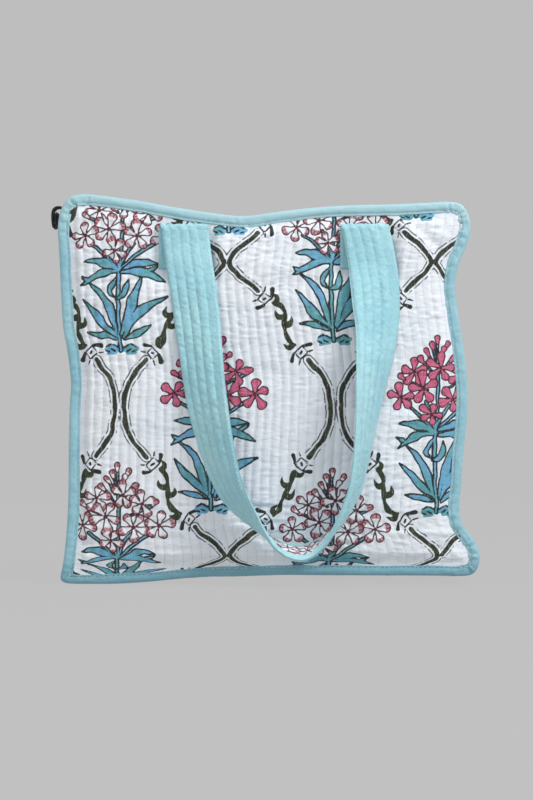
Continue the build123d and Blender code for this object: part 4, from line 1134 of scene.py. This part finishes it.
TOP_Z = 360.0
for word, side in (("front", -1), ("back", 1)):
    # each strip is cut at the middle of its length, into a left and a right piece

    def bend(o, xa, xb):
        xa * 0.001
        xb * 0.001
        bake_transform(o)
        return o

    def teeth(x0, x1):
        shapes = []
        for x in np.arange(x0, x1, 1.5):
            prof = [(3.9, 357.5, 0.34), (3.1, 358.7, 0.5), (1.6, 358.9, 0.56), (0.5, 358.5, 0.62), (0.25, 357.6, 0.6), (0.5, 356.7, 0.6), (1.7, 356.4, 0.5), (3.2, 356.6, 0.4)]
            a = [(x - w, side * yy, zz) for yy, zz, w in prof]
            b = [(x + w, side * yy, zz) for yy, zz, w in prof]
            nn = len(prof)
            faces = [tuple(range(nn)), tuple(range(2 * nn - 1, nn - 1, -1))] + [(i, i + nn, (i + 1) % nn + nn, (i + 1) % nn) for i in range(nn)]
            if side < 0:
                faces = [f[::-1] for f in faces]
            shapes.append((np.array(a + b), faces))
        return shapes

    off = 0.0 if side < 0 else 0.75
    for end, xa, xb, bag_x, flap_x in (("left", -191.0, 0.0, -170.0, -14.0), ("right", 0.0, 187.5, 116.0, 2.0)):
        mid = ("middle",) if end == "left" else ()
        o = ribbon(f"{word}_top_strip_{end}", xa, xb, side * 53.6, side * 15.2, TOP_Z, 3.6, PRINT, tuple(f"top_strip_{word}_{k}" for k in (end,) + mid), 131, body=None, puff=0.8, fields_print=True)
        bend(o, bag_x, flap_x)
        o = ribbon(f"{word}_zip_tape_{end}", xa + (4 if end == "left" else 0), xb - (4 if end == "right" else 0), side * 22.5, side * 2.9, 357.6, 0.8, TAPE,
                   ((f"zip_tape_{end}_end",) if word == "front" else ()) + ((f"zip_tape_{word}",) if end == "left" else ()), 141, body=None)
        bend(o, bag_x, flap_x)
        shapes = [stitch(np.array([x, side * 17.3, 362.35 + noise(x / 26, side * 17.3 / 18, 131) * 0.45]), np.array([1.0, 0, 0]), np.array([0, 1.0, 0]), np.array([0, 0, 1.0]), 2.8, 0.5, 0.45)
                  for x in (np.arange(-188, -2, 4.2) if end == "left" else np.arange(2, 185, 4.2))]
        bend(many(f"{word}_strip_stitches_{end}", shapes, THREAD, body=None), bag_x, flap_x)
        o = many(f"{word}_zip_teeth_{end}", teeth(-187 + off, -0.4) if end == "left" else teeth(0.5 + off, 184), TEETH, body=None,
                 cad=((f"zip_teeth_{end}_end",) if word == "front" else ()) + ((f"zip_teeth_{word}",) if end == "left" else ()))
        bend(o, bag_x, flap_x)


def tube_mesh(name, sections, mat, cad=(), body="bag", closed_ends=True):
    """A smooth skin over closed rings of points in mm."""
    P = np.array(sections, float)
    if closed_ends:
        first, last = P[0].mean(0, keepdims=True), P[-1].mean(0, keepdims=True)
        k = P.shape[1]
        P = np.concatenate([(first + (P[:1] - first) * 0.02), (first + (P[:1] - first) * 0.5), P, (last + (P[-1:] - last) * 0.5), (last + (P[-1:] - last) * 0.02)])
    return grid(name, P, wrap_j=True, mat=mat, cad=cad, body=body)


def ring_pts(x, cy, cz, hy, hz, power=4.0, count=28):
    a = np.linspace(0, TAU, count, endpoint=False)
    c, s = np.cos(a), np.sin(a)
    return np.stack([np.full(count, x), cy + hy * np.sign(c) * np.abs(c) ** (2 / power), cz + hz * np.sign(s) * np.abs(s) ** (2 / power)], 1)


# slider, pull, stop and the tail of the zip
half = [(-178.2, 2.4, 3.2), (-177.6, 3.6, 4.0), (-175.5, 4.5, 4.4), (-172.0, 4.75, 4.6), (-168.6, 4.6, 4.4), (-166.4, 3.9, 4.0), (-165.7, 2.9, 3.2)]
tube_mesh("zip_slider_shell", [ring_pts(x, 0, 358.6, hy, hz * 0.62) for x, hy, hz in half], METAL, ("zip_slider",), "zip_slider")
bridge = curve([(-176.6, 361.2), (-176.0, 363.4), (-173.6, 364.5), (-170.2, 364.5), (-168.2, 363.3), (-167.7, 361.2)], 22)
tube_mesh("zip_slider_bridge", [np.stack([np.full(12, x) + 0.55 * np.cos(np.linspace(0, TAU, 12, endpoint=False)), 1.5 * np.sin(np.linspace(0, TAU, 12, endpoint=False)), np.full(12, z) + 0.2 * np.cos(np.linspace(0, TAU, 12, endpoint=False))], 1) for x, z in bridge], METAL, (), "zip_slider")


def plate_ring(name, outer, inner, z0, z1, mat, cad, body):
    """A flat loop with rounded edges."""
    outer, inner = np.array(outer, float), np.array(inner, float)
    mid, bev = (z0 + z1) / 2, 0.28
    rows = [(outer * 0.97 + inner * 0.03, z0), (outer, z0 + bev), (outer, z1 - bev), (outer * 0.95 + inner * 0.05, z1), (outer * 0.05 + inner * 0.95, z1), (inner, z1 - bev), (inner, z0 + bev), (outer * 0.05 + inner * 0.95, z0)]
    P = np.stack([np.concatenate([r, np.full((len(r), 1), z)], 1) for r, z in rows], 1)
    return grid(name, P, wrap_i=True, wrap_j=True, mat=mat, cad=cad, body=body)


def rounded(cx, hx, hy, r, count=40, taper=0.0):
    a = np.linspace(0, TAU, count, endpoint=False)
    x = np.sign(np.cos(a)) * (hx - r) + r * np.cos(a)
    y = np.sign(np.sin(a)) * (hy - r) + r * np.sin(a)
    return np.stack([cx + x, y * (1 + taper * x / hx)], 1)


plate_ring("zip_pull_loop", rounded(-168.2, 4.6, 3.3, 2.2), rounded(-168.4, 3.2, 2.0, 1.4), 360.9, 362.2, METAL, (), "zip_pull")
plate_ring("zip_pull_plate", rounded(-155.2, 11.2, 3.7, 2.6, taper=-0.12), rounded(-149.4, 3.0, 1.3, 1.2), 361.1, 362.2, METAL, ("zip_pull",), "zip_pull")
tube_mesh("zip_stop_block", [ring_pts(x, 0, 357.9, hy, 1.9) for x, hy in ((171.2, 2.2), (171.6, 3.6), (173.4, 4.0), (175.2, 3.6), (175.6, 2.2))], METAL, ("zip_bottom_stop",))

TAIL = curve([(-181.0, 361.2), (-186.2, 365.4), (-190.4, 374.4), (-197.8, 377.4), (-205.4, 380.6), (-212.8, 382.4), (-217.9, 380.0), (-219.3, 373.0), (-218.4, 362.6), (-216.6, 361.4),
              (-215.6, 364.0), (-215.9, 372.0), (-214.6, 376.2), (-213.0, 372.0), (-212.4, 364.0), (-211.4, 361.6)], 90)
rows = []
for i, (x, z) in enumerate(TAIL):
    d = unit(TAIL[min(i + 1, 89)] - TAIL[max(i - 1, 0)])
    nx, nz = -d[1], d[0]
    t = np.linspace(-1, 1, 13)
    up = 0.75 + 0.30 * np.cos(t * np.pi / 2) + 0.16 * np.cos(t * np.pi * 3) + noise(i / 3.0, t * 3, 151) * 0.25
    top = np.stack([x + nx * up, t * 10.6, z + nz * up], 1)
    lo = np.stack([x - nx * 0.8 + 0 * t, t * 10.6, z - nz * 0.8 + 0 * t], 1)
    rows.append(np.concatenate([top, lo[::-1]]))
o = tube_mesh("zip_tail_fold", rows, TAPE, ("zip_tail",))
cut_sheet(o)

# ------------------------------------------------------------------------------------------------ slip pocket inside the front lining

pn, pm = int(134 / 2.2), int(142 / 2.2)
px, pz = np.linspace(-100.5, 35.5, pn)[:, None], np.linspace(79.5, 221.0, pm)[None]
tx, tz = (px + 32.5) / 68, (pz - 79) / 150
free = np.clip(1 - tx ** 4, 0, 1) * sstep(0.0, 0.75, tz)
py = -54.9 + 5.0 * free + noise(px / 30, pz / 26, 161) * 0.5 * free + noise(px / 6, pz / 5, 162) * 0.18
P = np.stack([px + 0 * pz, py, pz + 0 * px], -1)
o = grid("inner_pocket_cloth", P[::-1], mat=LINING, cad=("inner_pocket",))
pm2 = 14
pz2 = np.linspace(214.5, 229.2, pm2)[None]
tz2 = (pz2 - 214.5) / 14.7
free2 = np.clip(1 - tx ** 4, 0, 1)
mid = -54.9 + 5.3 * free2 + noise(px / 30, pz2 / 26, 161) * 0.5 * free2
th = 0.75 * np.sqrt(np.clip(1 - (2 * tz2 - 1) ** 4, 0, 1)) + 0.05
fr = np.stack([px + 0 * pz2, mid + th, pz2 + 0 * px], -1)
bk = np.stack([px + 0 * pz2, mid - th * 0.4, pz2 + 0 * px], -1)
P = np.concatenate([fr, bk[:, ::-1]], 1)
o = grid("inner_pocket_band", P[::-1], wrap_j=True, mat=LINING, cad=("inner_pocket_hem",))

# ------------------------------------------------------------------------------------------------ floor, light, camera

def backdrop():
    prof = [(-7.0, 0.0), (3.4, 0.0)] + [(3.4 + 1.0 * math.sin(a), 1.0 - 1.0 * math.cos(a)) for a in np.linspace(0.1, math.pi / 2, 14)] + [(4.4, 6.0)]
    v = [(x, y, z - 0.0004) for x in (-7.0, 7.0) for y, z in prof]
    n = len(prof)
    me = bpy.data.meshes.new("studio_sweep")
    me.from_pydata(v, [], [(i, i + n, i + n + 1, i + 1) for i in range(n - 1)])
    me.update()
    me.polygons.foreach_set("use_smooth", np.ones(len(me.polygons), bool))
    o = bpy.data.objects.new("studio_sweep", me)
    bpy.context.scene.collection.objects.link(o)
    m = Mat("studio_grey")
    soft = m.noise(2.0, 2.0)
    grey = srgb(193, 193, 193)
    m.b.inputs["Emission Strength"].default_value = 1.0
    m.t.links.new(m.mix(soft, tuple(c * 0.934 for c in grey), tuple(c * 0.931 for c in grey)).s, m.b.inputs["Emission Color"])
    me.materials.append(m.end(m.mix(soft, (0.029, 0.029, 0.029), (0.028, 0.028, 0.028)), rough=0.95, sheen=0.0, spec=0.0))
    return o


backdrop()

world = bpy.data.worlds.new("studio_light")
world.use_nodes = True
bg = world.node_tree.nodes["Background"]
bg.inputs["Color"].default_value = (1.0, 1.0, 1.0, 1)
bg.inputs["Strength"].default_value = 0.52
bpy.context.scene.world = world


def lamp(name, where, at, size, power, colour=(1, 1, 1)):
    li = bpy.data.lights.new(name, "AREA")
    li.shape = "RECTANGLE"
    li.size, li.size_y = size
    li.energy = power
    li.color = colour
    o = bpy.data.objects.new(name, li)
    bpy.context.scene.collection.objects.link(o)
    o.location = where
    d = np.array(at, float) - np.array(where, float)
    from mathutils import Vector
    o.rotation_euler = Vector(d).to_track_quat("-Z", "Y").to_euler()
    return o


lamp("key_softbox", (1.35, -1.15, 1.75), (0, -0.05, 0.2), (0.7, 0.7), 34.0)
lamp("top_softbox", (-0.2, -0.3, 2.3), (0, 0, 0.2), (1.2, 0.9), 10.0)
lamp("front_softbox", (-0.9, -2.6, 0.9), (0, 0, 0.2), (1.2, 1.2), 12.0)

cam_data = bpy.data.cameras.new("camera")
cam_data.lens = 100.0
cam_data.sensor_width = 36.0
cam = bpy.data.objects.new("camera", cam_data)
bpy.context.scene.collection.objects.link(cam)
cam.location = (0.0005, -0.065 - 2.222, 0.1845)
cam.rotation_euler = (math.pi / 2, 0, 0)
cam_data.clip_end = 50
bpy.context.scene.camera = cam
